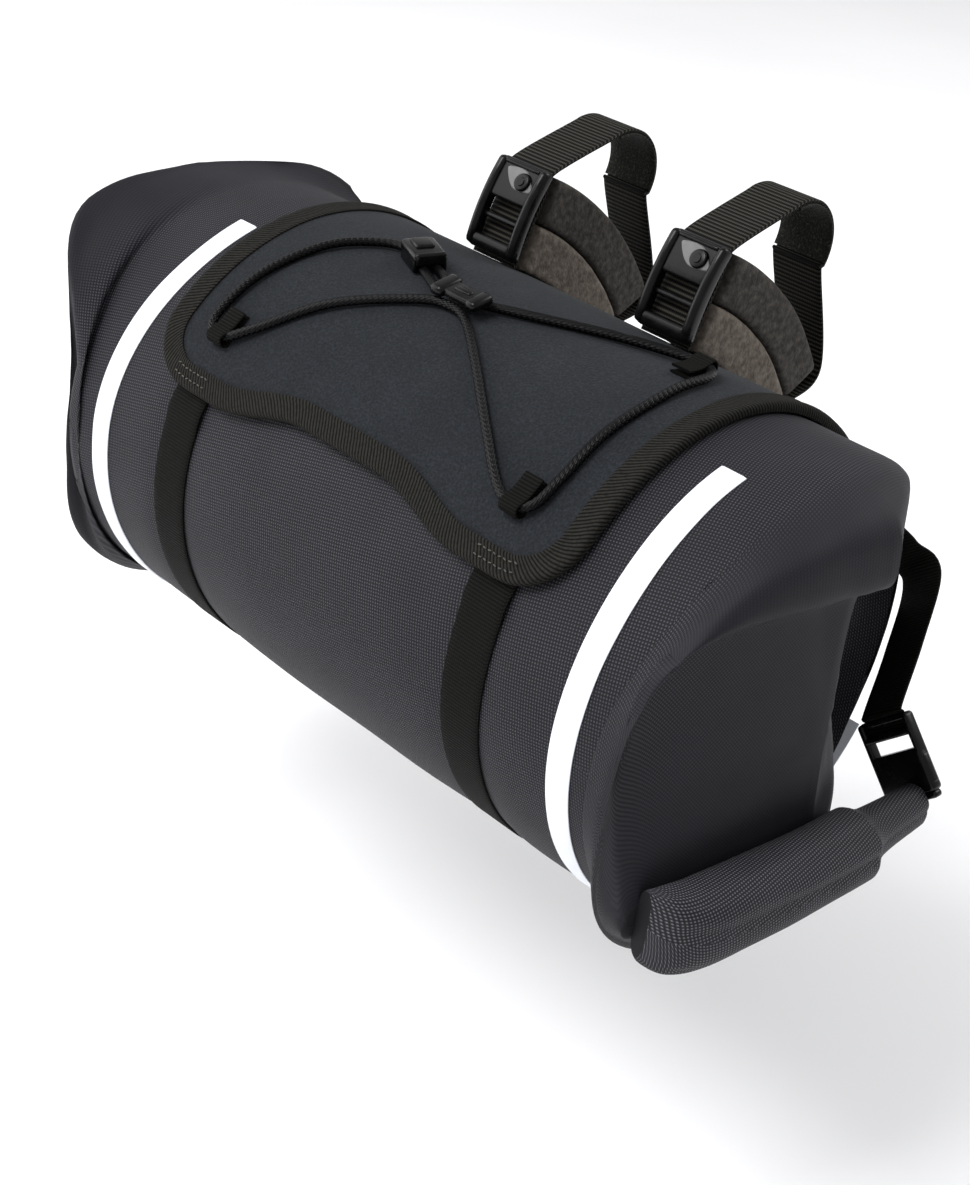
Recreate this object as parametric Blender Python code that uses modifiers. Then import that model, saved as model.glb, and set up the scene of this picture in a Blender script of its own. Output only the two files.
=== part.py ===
"""Roll-closed handlebar bag in its harness, hung from a 31.8 mm handlebar by two strap loops.

Metres, +Z up, +X along the handlebar, -Y away from the rider. The origin is on the handlebar's axis.
"""

import math

import bmesh
import bpy
from mathutils import Matrix, Vector

# Driving sizes, in metres
MM = 0.001
BAR_RADIUS = 15.9 * MM
BAG_RADIUS = 95 * MM
HALF_LENGTH = 190 * MM  # to the crest of the right end's shoulder
BARREL_HALF = 138 * MM  # the stretch that is a plain round barrel
WALL = 1.5 * MM
GAP = 0.3 * MM  # between pieces that touch
LIFT = 0.8 * MM  # of what lies on the barrel, so that facets stay clear

PANEL_HALF_WIDTH = 116 * MM
PANEL_THICK = 3 * MM
PANEL_CORNER = 26 * MM
PANEL_FRONT_ANGLE = 27  # degrees above the front, at the two straps
PANEL_SCOOP_ANGLE = 6  # how much higher the front edge runs between the straps
PANEL_REAR_ANGLE = 166
BINDING_WIDTH = 9 * MM
BINDING_THICK = 1.2 * MM

STRAP_AT = 88 * MM
STRAP_WIDTH = 20 * MM
WEBBING_THICK = 1.5 * MM
STITCH_ANGLE = 10  # degrees of strap sewn down on the panel

STRIPE_AT = 138 * MM
STRIPE_WIDTH = 11 * MM
STRIPE_THICK = 0.6 * MM
STRIPE_TOP_ANGLE = 72

FOAM_AT = 48 * MM  # each handlebar strap's middle
FOAM_WIDTH = 28 * MM
FOAM_THICK = 20 * MM
FOAM_FRONT_ANGLE = 113
FOAM_REAR_ANGLE = 150
BAR_STRAP_WIDTH = 25 * MM

BUCKLE_WIDTH = 28 * MM
BUCKLE_LENGTH = 40 * MM
BUCKLE_FOOT = 1.5 * MM  # from the panel up to the buckle
BUCKLE_THICK = 5 * MM
BUCKLE_WINDOW = 13 * MM
BUCKLE_RAIL = 3.5 * MM  # each side of the window
BUCKLE_PIN_RADIUS = 3.2 * MM
BUCKLE_PIN_INSET = 9 * MM  # from the buckle's upper corner, both ways
WINDOW_RAIL = 5 * MM  # below the window

ROLL_RADIUS = 14 * MM

CORD_RADIUS = 1.9 * MM
CORD_LIFT = 0.4 * MM  # between the panel and the cord
HOOK_LENGTH = 24 * MM
HOOK_WIDTH = 13 * MM
HOOK_THICK = 4 * MM
CORD_LOCK_LENGTH = 19 * MM
CORD_LOCK_WIDTH = 15 * MM
CORD_LOCK_THICK = 8 * MM
LOCK_WALL = 2 * MM  # beside the slot

TAB_WIDTH = 9 * MM
TAB_LENGTH = 12 * MM
END_STRAP_WIDTH = 20 * MM
END_BUCKLE_LENGTH = 34 * MM
END_BUCKLE_THICK = 6 * MM
END_BUCKLE_RAILS = 5 * MM  # wider than its strap
END_STRAP_OUT = 5 * MM  # past the stripe, and where it is sewn past the panel
END_BUCKLE_AT = 0.86  # where the strap leaves the buckle, as a share of HALF_LENGTH
END_BUCKLE_RISE = -0.13  # and as a share of BAG_RADIUS above the bag's axis

SIDES = {"left": -1, "right": 1}

LOOP_CLEAR = 3.5 * MM  # room for handlebar tape under a handlebar strap

# The panel lies on the barrel, the foam on the panel, and the handlebar on the foam
PANEL_INNER = BAG_RADIUS + LIFT
PANEL_OUTER = PANEL_INNER + PANEL_THICK
FOAM_BASE = PANEL_OUTER + GAP
FOAM_TOP = FOAM_BASE + 2 * FOAM_THICK + GAP
BAR_DISTANCE = FOAM_TOP + GAP + BAR_RADIUS
BAR_ANGLE = 127  # where the handlebar sits round the barrel
AXIS_Y = BAR_DISTANCE * math.cos(math.radians(BAR_ANGLE))
AXIS_Z = -BAR_DISTANCE * math.sin(math.radians(BAR_ANGLE))

# Each end of the bag as sections from the barrel to the mouth. x and xLow are shares of HALF_LENGTH at the
# section's top and bottom, square makes its outline boxier, sweep draws its rear in, lean carries its top forward,
# and the rest are shares of BAG_RADIUS. The right end is tucked in flat under a shoulder, the left one flares.
END_COLUMNS = ("x", "xLow", "top", "low", "front", "rear", "square", "sweep", "lean")
END_SECTIONS = {
    "right": (
        (0.860, 0.830, 0.995, -1.000, 1.00, 1.00, 1.00, 0.24, 0.00),
        (0.945, 0.870, 0.96, -0.985, 1.01, 0.96, 0.96, 0.44, 0.00),
        (0.990, 0.900, 0.89, -0.97, 1.02, 0.90, 0.84, 0.60, 0.00),
        (1.000, 0.920, 0.79, -0.95, 1.02, 0.83, 0.66, 0.72, 0.00),
        (0.985, 0.935, 0.70, -0.92, 1.02, 0.78, 0.50, 0.80, 0.00),
        (0.955, 0.943, 0.63, -0.89, 1.02, 0.74, 0.40, 0.82, 0.00),
        (0.938, 0.948, 0.48, -0.86, 1.02, 0.72, 0.38, 0.80, 0.00),
        (0.932, 0.952, 0.18, -0.82, 1.01, 0.70, 0.42, 0.74, 0.00),
        (0.928, 0.955, -0.08, -0.75, 0.98, 0.67, 0.50, 0.64, 0.00),
        (0.928, 0.957, -0.24, -0.68, 0.94, 0.62, 0.52, 0.48, 0.00),
        (0.935, 0.958, -0.34, -0.62, 0.91, 0.54, 0.52, 0.32, 0.00),
        (0.944, 0.958, -0.38, -0.57, 0.89, 0.44, 0.50, 0.16, 0.00),
        (0.955, 0.957, -0.41, -0.54, 0.88, 0.36, 0.45, 0.00, 0.00),
    ),
    "left": (
        (0.870, 0.850, 1.00, -1.000, 1.00, 1.00, 1.00, 0.05, 0.00),
        (0.960, 0.890, 1.00, -0.995, 1.00, 0.97, 0.98, 0.12, 0.00),
        (1.080, 0.915, 0.98, -0.985, 1.00, 0.93, 0.95, 0.20, 0.04),
        (1.170, 0.930, 0.93, -0.97, 1.00, 0.89, 0.92, 0.28, 0.06),
        (1.180, 0.938, 0.84, -0.95, 1.00, 0.86, 0.88, 0.32, 0.06),
        (1.110, 0.944, 0.68, -0.92, 0.98, 0.83, 0.84, 0.32, 0.04),
        (1.030, 0.950, 0.47, -0.89, 0.94, 0.80, 0.82, 0.30, 0.00),
        (0.985, 0.954, 0.24, -0.85, 0.88, 0.77, 0.80, 0.26, 0.00),
        (0.965, 0.957, 0.02, -0.80, 0.80, 0.74, 0.78, 0.22, 0.00),
        (0.955, 0.959, -0.16, -0.74, 0.68, 0.71, 0.72, 0.18, 0.00),
        (0.952, 0.960, -0.29, -0.66, 0.56, 0.72, 0.62, 0.12, 0.00),
        (0.954, 0.960, -0.38, -0.58, 0.44, 0.76, 0.52, 0.08, 0.00),
        (0.960, 0.960, -0.41, -0.54, 0.36, 0.82, 0.45, 0.00, 0.00),
    ),
}
END_BEND = {"right": 1, "left": 6}  # how late the section's edge turns outward towards its top
SECTION_POINTS = 36
BARREL_SECTIONS = 5
FLAT_MOUTH = 0.15  # half height under which a section is boxy below too

# The rolled mouth as sections along its own axis: y and z as shares of BAG_RADIUS, x past the mouth and the
# section's width and height as shares of ROLL_RADIUS, and square, which makes it boxier. Its front end is folded
# flat and upright, and its rear end narrows to the tail that the buckle holds. The left roll sits further back.
ROLL_COLUMNS = ("y", "x", "z", "wide", "tall", "square")
ROLL_SECTIONS = (
    (-0.84, 0.84, -0.490, 0.20, 1.16, 0.75),
    (-0.81, 0.86, -0.490, 0.62, 1.18, 0.75),
    (-0.70, 0.89, -0.488, 0.88, 1.14, 0.78),
    (-0.45, 0.93, -0.482, 0.94, 1.08, 0.82),
    (-0.10, 0.95, -0.478, 0.96, 1.02, 0.85),
    (0.20, 0.94, -0.478, 0.94, 1.00, 0.85),
    (0.26, 0.90, -0.480, 0.72, 0.76, 0.90),
    (0.52, 0.80, -0.475, 0.50, 0.62, 0.90),
)
ROLL_POINTS = 18
ROLL_BACK = {"left": 0.52, "right": 0.0}

PANEL_ROWS = 14

# The elastic cord's route over the panel, as x in millimetres, angle round the bag, and rise above the panel
CORD_ROUTE = (
    (-54, 89.0, 0.0), (-44, 86.5, 0.0), (-30, 83.0, 0.0), (-16, 79.5, 0.0), (-4, 79.0, 0.0),
    (16, 83.0, 0.0), (46, 91.0, 0.0), (70, 96.8, 0.3), (84, 98.0, 0.6), (93, 94.0, 0.3),
    (94, 82.0, 0.0), (93, 64.0, 0.0), (93, 50.0, 0.0), (91, 43.0, 0.3), (84, 40.5, 0.6),
    (73, 42.5, 0.3), (54, 51.0, 0.0), (24, 64.5, 0.0), (4, 72.5, 0.0), (-8, 74.5, 0.0),
    (-22, 72.0, 0.0), (-50, 60.0, 0.0), (-72, 45.5, 0.3), (-84, 40.5, 0.6), (-93, 44.0, 0.3),
    (-91, 58.0, 0.0), (-82, 74.0, 0.0), (-68, 84.0, 0.0), (-55, 86.3, 0.0), (-45, 83.6, 0.0),
    (-32, 80.0, 0.0), (-22, 77.4, 0.0),
)
TABS = (("front_left", -84, 40.5, 1), ("front_right", 84, 40.5, 1), ("rear_right", 84, 98.0, -1))
# Places on the panel, as x in millimetres and angle round the bag, and the place each piece points at
HOOK_AT, HOOK_TOWARD = (-6, 77), (30, 77)
LOCK_AT, LOCK_TOWARD = (-45, 85.2), (-30, 81.6)

COLOURS = {
    "coated_fabric": (0.034, 0.032, 0.041, 0.72, 0.0),
    "felted_panel": (0.030, 0.036, 0.044, 0.90, 0.0),
    "binding_tape": (0.017, 0.017, 0.014, 0.85, 0.0),
    "webbing": (0.010, 0.010, 0.008, 0.80, 0.0),
    "reflective": (0.86, 0.87, 0.90, 0.35, 0.0),
    "foam": (0.050, 0.045, 0.041, 0.95, 0.0),
    "buckle_plastic": (0.006, 0.006, 0.006, 0.30, 0.0),
    "elastic_cord": (0.012, 0.012, 0.012, 0.70, 0.0),
}


def clear_scene():
    for obj in list(bpy.data.objects):
        bpy.data.objects.remove(obj, do_unlink=True)


def make_collection(name):
    collection = bpy.data.collections.new(name)
    bpy.context.scene.collection.children.link(collection)
    return collection


def make_material(name):
    red, green, blue, roughness, metallic = COLOURS[name]
    material = bpy.data.materials.new(name)
    material.use_nodes = True
    shader = material.node_tree.nodes["Principled BSDF"]
    shader.inputs["Base Color"].default_value = (red, green, blue, 1)
    shader.inputs["Roughness"].default_value = roughness
    shader.inputs["Metallic"].default_value = metallic
    return material


def place_mesh(name, shape, material, collection, sharp=35):
    """Turns a bmesh into a named object with outward faces."""
    bmesh.ops.recalc_face_normals(shape, faces=shape.faces)
    mesh = bpy.data.meshes.new(name)
    shape.to_mesh(mesh)
    shape.free()
    mesh.shade_smooth()
    mesh.set_sharp_from_angle(angle=math.radians(sharp))
    mesh.materials.append(material)
    obj = bpy.data.objects.new(name, mesh)
    collection.objects.link(obj)
    return obj


def loft(rings, closed_ring=True, caps="ngon", closed_path=False):
    """A bmesh through rings of equal point counts."""
    shape = bmesh.new()
    rows = [[shape.verts.new(point) for point in ring] for ring in rings]
    count = len(rows[0])
    steps = count if closed_ring else count - 1
    pairs = list(zip(rows, rows[1:]))
    if closed_path:
        pairs.append((rows[-1], rows[0]))
    for first, second in pairs:
        for i in range(steps):
            j = (i + 1) % count
            shape.faces.new((first[i], first[j], second[j], second[i]))
    if caps == "ngon":
        shape.faces.new(rows[0][::-1])
        shape.faces.new(rows[-1])
    if caps == "strip":
        half = count // 2
        for row in (rows[0], rows[-1]):
            for i in range(half - 1):
                shape.faces.new((row[i], row[i + 1], row[count - 2 - i], row[count - 1 - i]))
    return shape


def on_bag(x, angle, radius):
    """A point round the barrel: 0 degrees faces forward, 90 up, 180 the rider."""
    turn = math.radians(angle)
    return Vector((x, AXIS_Y - radius * math.cos(turn), AXIS_Z + radius * math.sin(turn)))


def blend(low, high, share):
    share = min(max(share, 0.0), 1.0)
    return low + (high - low) * share * share * (3 - 2 * share)


def squared(value, power):
    return math.copysign(abs(value) ** power, value)


def end_ring(row, word, side):
    section = dict(zip(END_COLUMNS, row))
    middle = (section["top"] + section["low"]) / 2
    half = (section["top"] - section["low"]) / 2
    ring = []
    for i in range(SECTION_POINTS):
        turn = math.tau * i / SECTION_POINTS
        boxy = section["square"] if math.sin(turn) > 0 else (section["square"] + 1) / 2
        if half < FLAT_MOUTH:
            boxy = section["square"]
        rise = squared(math.sin(turn), boxy)
        ahead = squared(math.cos(turn), boxy)
        depth = section["front"] if ahead > 0 else section["rear"]
        outward = ((rise + 1) / 2) ** END_BEND[word]
        along = section["xLow"] + (section["x"] - section["xLow"]) * outward
        drawn_in = section["sweep"] * max(-ahead, 0) * section["rear"] * BAG_RADIUS
        forward = ahead * depth + section["lean"] * max(rise, 0) ** 3
        ring.append(Vector((
            side * (along * HALF_LENGTH - drawn_in),
            AXIS_Y - forward * BAG_RADIUS,
            AXIS_Z + (middle + half * rise) * BAG_RADIUS,
        )))
    return ring


def barrel_ring(x):
    return [on_bag(x, 360 * i / SECTION_POINTS, BAG_RADIUS) for i in range(SECTION_POINTS)]


def make_bag(material, collection):
    """The bag's skin from mouth to mouth. Each mouth is pressed flat and stays open inside its roll."""
    rings = [end_ring(row, "left", -1) for row in reversed(END_SECTIONS["left"])]
    for i in range(BARREL_SECTIONS):
        rings.append(barrel_ring(BARREL_HALF * (2 * i / (BARREL_SECTIONS - 1) - 1)))
    rings += [end_ring(row, "right", 1) for row in END_SECTIONS["right"]]
    bag = place_mesh("bag_body", loft(rings, caps="none"), material, collection, sharp=60)
    skin = bag.modifiers.new("wall", "SOLIDIFY")
    skin.thickness = WALL
    skin.offset = -1
    return bag


def box_mesh(size):
    shape = bmesh.new()
    bmesh.ops.create_cube(shape, size=1, matrix=Matrix.Diagonal((*size, 1)))
    mesh = bpy.data.meshes.new("box")
    shape.to_mesh(mesh)
    shape.free()
    return mesh


def panel_edges(x):
    """Front and rear angle of the panel at x: rounded corners, and a raised front edge between the straps."""
    inside = PANEL_HALF_WIDTH - abs(x)
    corner = 0.0
    if inside < PANEL_CORNER:
        corner = PANEL_CORNER - math.sqrt(PANEL_CORNER**2 - (PANEL_CORNER - inside) ** 2)
    corner_angle = math.degrees(corner / PANEL_OUTER)
    scoop = PANEL_SCOOP_ANGLE * (1 - blend(0, 1, (abs(x) - 0.25 * STRAP_AT) / (0.55 * STRAP_AT)))
    return PANEL_FRONT_ANGLE + scoop + corner_angle, PANEL_REAR_ANGLE - corner_angle


def panel_columns():
    """x of the panel's columns, close together at the corners."""
    flat = PANEL_HALF_WIDTH - PANEL_CORNER
    turns = [PANEL_CORNER * math.sin(math.radians(90 * i / 6)) for i in range(1, 7)]
    half = [flat * i / 8 for i in range(1, 9)] + [flat + turn for turn in turns]
    return [-x for x in reversed(half)] + [0.0] + half


def make_panel(material, collection):
    def ring(x):
        front, rear = panel_edges(x)
        angles = [front + (rear - front) * i / PANEL_ROWS for i in range(PANEL_ROWS + 1)]
        return [on_bag(x, a, PANEL_OUTER) for a in angles] + [on_bag(x, a, PANEL_INNER) for a in reversed(angles)]

    shape = loft([ring(x) for x in panel_columns()], caps="strip")
    return place_mesh("top_panel", shape, material, collection)


def panel_outline():
    """The panel's edge as (x, angle), once round."""
    columns = panel_columns()
    front = [(x, panel_edges(x)[0]) for x in columns]
    rear = [(x, panel_edges(x)[1]) for x in reversed(columns)]
    low, high = panel_edges(columns[-1])
    side = [low + (high - low) * i / 14 for i in range(1, 14)]
    right = [(columns[-1], angle) for angle in side]
    left = [(columns[0], angle) for angle in reversed(side)]
    return front + right + rear + left


def make_binding(material, collection):
    """A folded tape that holds the panel's edge between its two sides."""
    outline = panel_outline()
    count = len(outline)
    rings = []
    for i, (x, angle) in enumerate(outline):
        before, after = outline[i - 1], outline[(i + 1) % count]
        run_x = after[0] - before[0]
        run_a = math.radians(after[1] - before[1]) * PANEL_OUTER
        size = math.hypot(run_x, run_a)
        out_x, out_a = run_a / size, -run_x / size

        def at(reach, radius):
            return on_bag(x + out_x * reach, angle + math.degrees(out_a * reach / PANEL_OUTER), radius)

        top, low = PANEL_OUTER + GAP, PANEL_INNER - GAP
        rings.append([
            at(-BINDING_WIDTH, top + BINDING_THICK),
            at(GAP, top + BINDING_THICK),
            at(GAP + BINDING_THICK, top),
            at(GAP + BINDING_THICK, PANEL_INNER),
            at(GAP, PANEL_INNER),
            at(GAP, top),
            at(-BINDING_WIDTH, top),
        ])
    shape = loft(rings, caps="none", closed_path=True)
    return place_mesh("panel_binding", shape, material, collection)


def ribbon(name, path, sides, width, thick, material, collection):
    """A flat band along path, its width along each point's side vector."""
    rings = []
    for i, point in enumerate(path):
        before, after = path[max(i - 1, 0)], path[min(i + 1, len(path) - 1)]
        along = (after - before).normalized()
        side = sides[i].normalized()
        out = along.cross(side).normalized()
        half = side * width / 2
        rings.append([point - half, point + half, point + half + out * thick, point - half + out * thick])
    return place_mesh(name, loft(rings), material, collection)


def make_strap(word, side, material, collection):
    """Sewn on the panel's front edge, down the front, under the bag and up to the panel's rear edge."""
    on_panel = PANEL_OUTER + GAP + BINDING_THICK + GAP
    on_barrel = BAG_RADIUS + LIFT
    start, stop = PANEL_FRONT_ANGLE + STITCH_ANGLE, PANEL_REAR_ANGLE - STITCH_ANGLE - 360
    step_down, step_up = PANEL_FRONT_ANGLE - 2.5, PANEL_REAR_ANGLE + 2.5 - 360
    angles = [start, (start + step_down) / 2, step_down]
    angles += [step_down - 4 + (step_up - step_down + 8) * i / 26 for i in range(27)]
    angles += [step_up, (step_up + stop) / 2, stop]
    path = []
    for i, angle in enumerate(angles):
        near_end = i < 3 or i >= len(angles) - 3
        path.append(on_bag(side * STRAP_AT, angle, on_panel if near_end else on_barrel))
    across = [Vector((1, 0, 0))] * len(path)
    return ribbon("front_strap_" + word, path, across, STRAP_WIDTH, WEBBING_THICK, material, collection)


def make_stripe(word, side, material, collection):
    count = 26
    stop = -150
    path = []
    for i in range(count):
        angle = STRIPE_TOP_ANGLE + (stop - STRIPE_TOP_ANGLE) * i / (count - 1)
        path.append(on_bag(side * STRIPE_AT, angle, BAG_RADIUS + LIFT))
    across = [Vector((1, 0, 0))] * count
    return ribbon("reflective_stripe_" + word, path, across, STRIPE_WIDTH, STRIPE_THICK, material, collection)


def make_foam(name, side, low, material, collection):
    steps = 8
    rings = []
    for x in (side * FOAM_AT - FOAM_WIDTH / 2, side * FOAM_AT + FOAM_WIDTH / 2):
        angles = [
            FOAM_FRONT_ANGLE + (FOAM_REAR_ANGLE - FOAM_FRONT_ANGLE) * i / steps for i in range(steps + 1)
        ]
        outer = [on_bag(x, a, low + FOAM_THICK - GAP) for a in angles]
        inner = [on_bag(x, a, low) for a in reversed(angles)]
        rings.append(outer + inner)
    foam = place_mesh(name, loft(rings, caps="strip"), material, collection)
    edge = foam.modifiers.new("edge", "BEVEL")
    edge.width = 1.2 * MM
    edge.segments = 1
    edge.limit_method = "ANGLE"
    return foam


def strap_front(x):
    """The straight stretch of the handlebar strap along the foam's front, from the panel up."""
    low = on_bag(x, FOAM_FRONT_ANGLE - 2.2, FOAM_BASE + GAP)
    high = on_bag(x, FOAM_FRONT_ANGLE - 1.5, FOAM_TOP + 1 * MM)
    return low, high


def bar_loop_path(x):
    """From the panel up behind the buckle, over the handlebar and down behind the foam."""
    reach = BAR_RADIUS + LOOP_CLEAR
    points = list(strap_front(x))
    for turn in range(115, -41, -15):
        bent = math.radians(turn)
        points.append(Vector((x, reach * math.cos(bent), reach * math.sin(bent))))
    points += [
        on_bag(x, FOAM_REAR_ANGLE + 1.4, FOAM_TOP + 2 * MM),
        on_bag(x, FOAM_REAR_ANGLE + 1.6, FOAM_BASE + FOAM_THICK),
        on_bag(x, FOAM_REAR_ANGLE + 2.4, FOAM_BASE + 6 * MM),
        on_bag(x, FOAM_REAR_ANGLE + 8, FOAM_BASE),
    ]
    return points


def make_bar_loop(word, side, material, collection):
    path = bar_loop_path(side * FOAM_AT)
    across = [Vector((-1, 0, 0))] * len(path)
    return ribbon("bar_strap_" + word, path, across, BAR_STRAP_WIDTH, WEBBING_THICK, material, collection)


def make_buckle(word, side, material, collection, cutters):
    """A ladder buckle on the front of the handlebar strap: a plate above, a window showing the strap below."""
    low, high = strap_front(side * FOAM_AT)
    up = (high - low).normalized()
    out = Vector((1, 0, 0)).cross(up)
    seat = WEBBING_THICK + 2 * GAP + BUCKLE_THICK / 2
    middle = low + up * (BUCKLE_LENGTH / 2 + BUCKLE_FOOT) + out * seat
    turn = Matrix((Vector((1, 0, 0)), up, out)).transposed().to_4x4()
    frame = Matrix.Translation(middle) @ turn
    buckle = bpy.data.objects.new("cam_buckle_" + word, box_mesh((BUCKLE_WIDTH, BUCKLE_LENGTH, BUCKLE_THICK)))
    buckle.data.materials.append(material)
    collection.objects.link(buckle)
    buckle.matrix_world = frame
    window = bpy.data.objects.new(
        "cut_window_" + word, box_mesh((BUCKLE_WIDTH - 2 * BUCKLE_RAIL, BUCKLE_WINDOW, 4 * BUCKLE_THICK))
    )
    cutters.objects.link(window)
    window.matrix_world = frame @ Matrix.Translation((0, -BUCKLE_LENGTH / 2 + BUCKLE_WINDOW / 2 + WINDOW_RAIL, 0))
    window.hide_render = True
    window.display_type = "WIRE"
    cut = buckle.modifiers.new("window", "BOOLEAN")
    cut.operation = "DIFFERENCE"
    cut.object = window
    edge = buckle.modifiers.new("edge", "BEVEL")
    edge.width = 1 * MM
    edge.segments = 2
    edge.limit_method = "ANGLE"
    shape = bmesh.new()
    bmesh.ops.create_cone(
        shape, cap_ends=True, segments=16, radius1=BUCKLE_PIN_RADIUS, radius2=BUCKLE_PIN_RADIUS * 0.8,
        depth=2 * MM,
    )
    pin = place_mesh("buckle_pin_" + word, shape, material, collection)
    inset = BUCKLE_PIN_INSET
    corner = Vector((BUCKLE_WIDTH / 2 - inset, BUCKLE_LENGTH / 2 - inset, BUCKLE_THICK / 2 + 1 * MM + GAP))
    pin.matrix_world = frame @ Matrix.Translation(corner)


def roll_ring(row, word, side):
    section = dict(zip(ROLL_COLUMNS, row))
    mouth = dict(zip(END_COLUMNS, END_SECTIONS[word][-1]))
    middle_x = mouth["x"] * HALF_LENGTH + section["x"] * ROLL_RADIUS + GAP
    middle_y = AXIS_Y + (section["y"] + ROLL_BACK[word]) * BAG_RADIUS
    middle_z = AXIS_Z + section["z"] * BAG_RADIUS
    ring = []
    for i in range(ROLL_POINTS):
        turn = math.tau * i / ROLL_POINTS
        across = section["wide"] * squared(math.cos(turn), section["square"]) * ROLL_RADIUS
        rise = section["tall"] * squared(math.sin(turn), section["square"]) * ROLL_RADIUS
        ring.append(Vector((side * (middle_x + across), middle_y, middle_z + rise)))
    return ring


def make_roll(word, side, material, collection):
    shape = loft([roll_ring(row, word, side) for row in ROLL_SECTIONS])
    return place_mesh("closure_roll_" + word, shape, material, collection)


def on_panel(x_mm, angle, rise_mm):
    return on_bag(x_mm * MM, angle, PANEL_OUTER + CORD_LIFT + CORD_RADIUS + rise_mm * MM)


def make_cord(material, collection):
    return tube("shock_cord", [on_panel(*row) for row in CORD_ROUTE], CORD_RADIUS, material, collection)


def panel_frame(x_mm, angle, lift, toward):
    """A frame on the panel: its x axis runs towards the (x, angle) given, its z axis points outward."""
    centre = on_bag(x_mm * MM, angle, PANEL_OUTER + lift)
    out = (on_bag(x_mm * MM, angle, PANEL_OUTER + 1) - centre).normalized()
    along = on_bag(toward[0] * MM, toward[1], PANEL_OUTER + lift) - centre
    across = out.cross(along).normalized()
    along = across.cross(out).normalized()
    return Matrix.Translation(centre) @ Matrix((along, across, out)).transposed().to_4x4()


def rounded_box(name, size, frame, edge, material, collection):
    obj = bpy.data.objects.new(name, box_mesh(size))
    obj.data.materials.append(material)
    collection.objects.link(obj)
    obj.matrix_world = frame
    bevel = obj.modifiers.new("edge", "BEVEL")
    bevel.width = edge
    bevel.segments = 2
    bevel.limit_method = "ANGLE"
    return obj


def make_hook_and_lock(material, collection, cutters):
    """The hook lies on the cord where its two halves meet, and the lock holds both strands in its slot."""
    above = CORD_LIFT + 2 * CORD_RADIUS + GAP
    frame = panel_frame(*HOOK_AT, above + HOOK_THICK / 2, HOOK_TOWARD)
    rounded_box("centre_hook", (HOOK_LENGTH, HOOK_WIDTH, HOOK_THICK), frame, 1.2 * MM, material, collection)
    frame = panel_frame(*LOCK_AT, CORD_LOCK_THICK / 2 + GAP, LOCK_TOWARD)
    size = (CORD_LOCK_LENGTH, CORD_LOCK_WIDTH, CORD_LOCK_THICK)
    lock = rounded_box("cord_lock", size, frame, 1.6 * MM, material, collection)
    slot_size = (2 * CORD_LOCK_LENGTH, CORD_LOCK_WIDTH - 2 * LOCK_WALL, CORD_LOCK_THICK - 1.5 * LOCK_WALL)
    slot = bpy.data.objects.new("cut_lock", box_mesh(slot_size))
    cutters.objects.link(slot)
    slot.matrix_world = frame @ Matrix.Translation((0, 0, CORD_LIFT + CORD_RADIUS - CORD_LOCK_THICK / 2 - GAP))
    slot.hide_render = True
    slot.display_type = "WIRE"
    cut = lock.modifiers.new("slot", "BOOLEAN")
    cut.operation = "DIFFERENCE"
    cut.object = slot


def make_end_strap(word, side, webbing, plastic, collection):
    """A side-release buckle on the roll's tail, and a strap from it round the bag's rear to the panel's edge."""
    mouth = dict(zip(END_COLUMNS, END_SECTIONS[word][-1]))
    tail = dict(zip(ROLL_COLUMNS, ROLL_SECTIONS[-1]))
    low = Vector((
        side * (mouth["x"] * HALF_LENGTH + tail["x"] * ROLL_RADIUS),
        AXIS_Y + (tail["y"] + ROLL_BACK[word]) * BAG_RADIUS + END_BUCKLE_THICK / 2 + 2 * GAP,
        AXIS_Z + tail["z"] * BAG_RADIUS,
    ))
    high = Vector((side * END_BUCKLE_AT * HALF_LENGTH, low.y, AXIS_Z + END_BUCKLE_RISE * BAG_RADIUS))
    up = (high - low).normalized()
    back = Vector((0, 1, 0))
    across = back.cross(up)
    middle = low + up * END_BUCKLE_LENGTH / 2
    frame = Matrix.Translation(middle) @ Matrix((across, up, back)).transposed().to_4x4()
    size = (END_STRAP_WIDTH + END_BUCKLE_RAILS, END_BUCKLE_LENGTH, END_BUCKLE_THICK)
    rounded_box("side_buckle_" + word, size, frame, 1.5 * MM, plastic, collection)
    clear = PANEL_OUTER + 2 * GAP + BINDING_THICK + GAP
    first = low + up * (END_BUCKLE_LENGTH + GAP)
    bend = on_bag(side * (STRIPE_AT + END_STRAP_OUT), PANEL_REAR_ANGLE + 6, clear + 2 * MM)
    sewn = on_bag(side * (PANEL_HALF_WIDTH + END_STRAP_OUT), PANEL_REAR_ANGLE - 2, clear)
    halfway = bend.lerp(sewn, 0.5) + Vector((0, 1 * MM, 0))
    path = [first, first + up * 3 * MM, first.lerp(bend, 0.5), bend, halfway, sewn]
    ribbon("end_strap_" + word, path, [across] * len(path), END_STRAP_WIDTH, WEBBING_THICK, webbing, collection)


def tube(name, points, radius, material, collection):
    """A round cord on a smooth curve through the chosen points."""
    guide = smooth_route(points, radius * 6)
    data = bpy.data.curves.new(name, "CURVE")
    data.dimensions = "3D"
    data.bevel_depth = radius
    data.bevel_resolution = 2
    data.use_fill_caps = True
    spline = data.splines.new("POLY")
    spline.points.add(len(guide) - 1)
    for place, point in zip(spline.points, guide):
        place.co = (*point, 1)
    data.materials.append(material)
    obj = bpy.data.objects.new(name, data)
    collection.objects.link(obj)
    return obj


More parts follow.
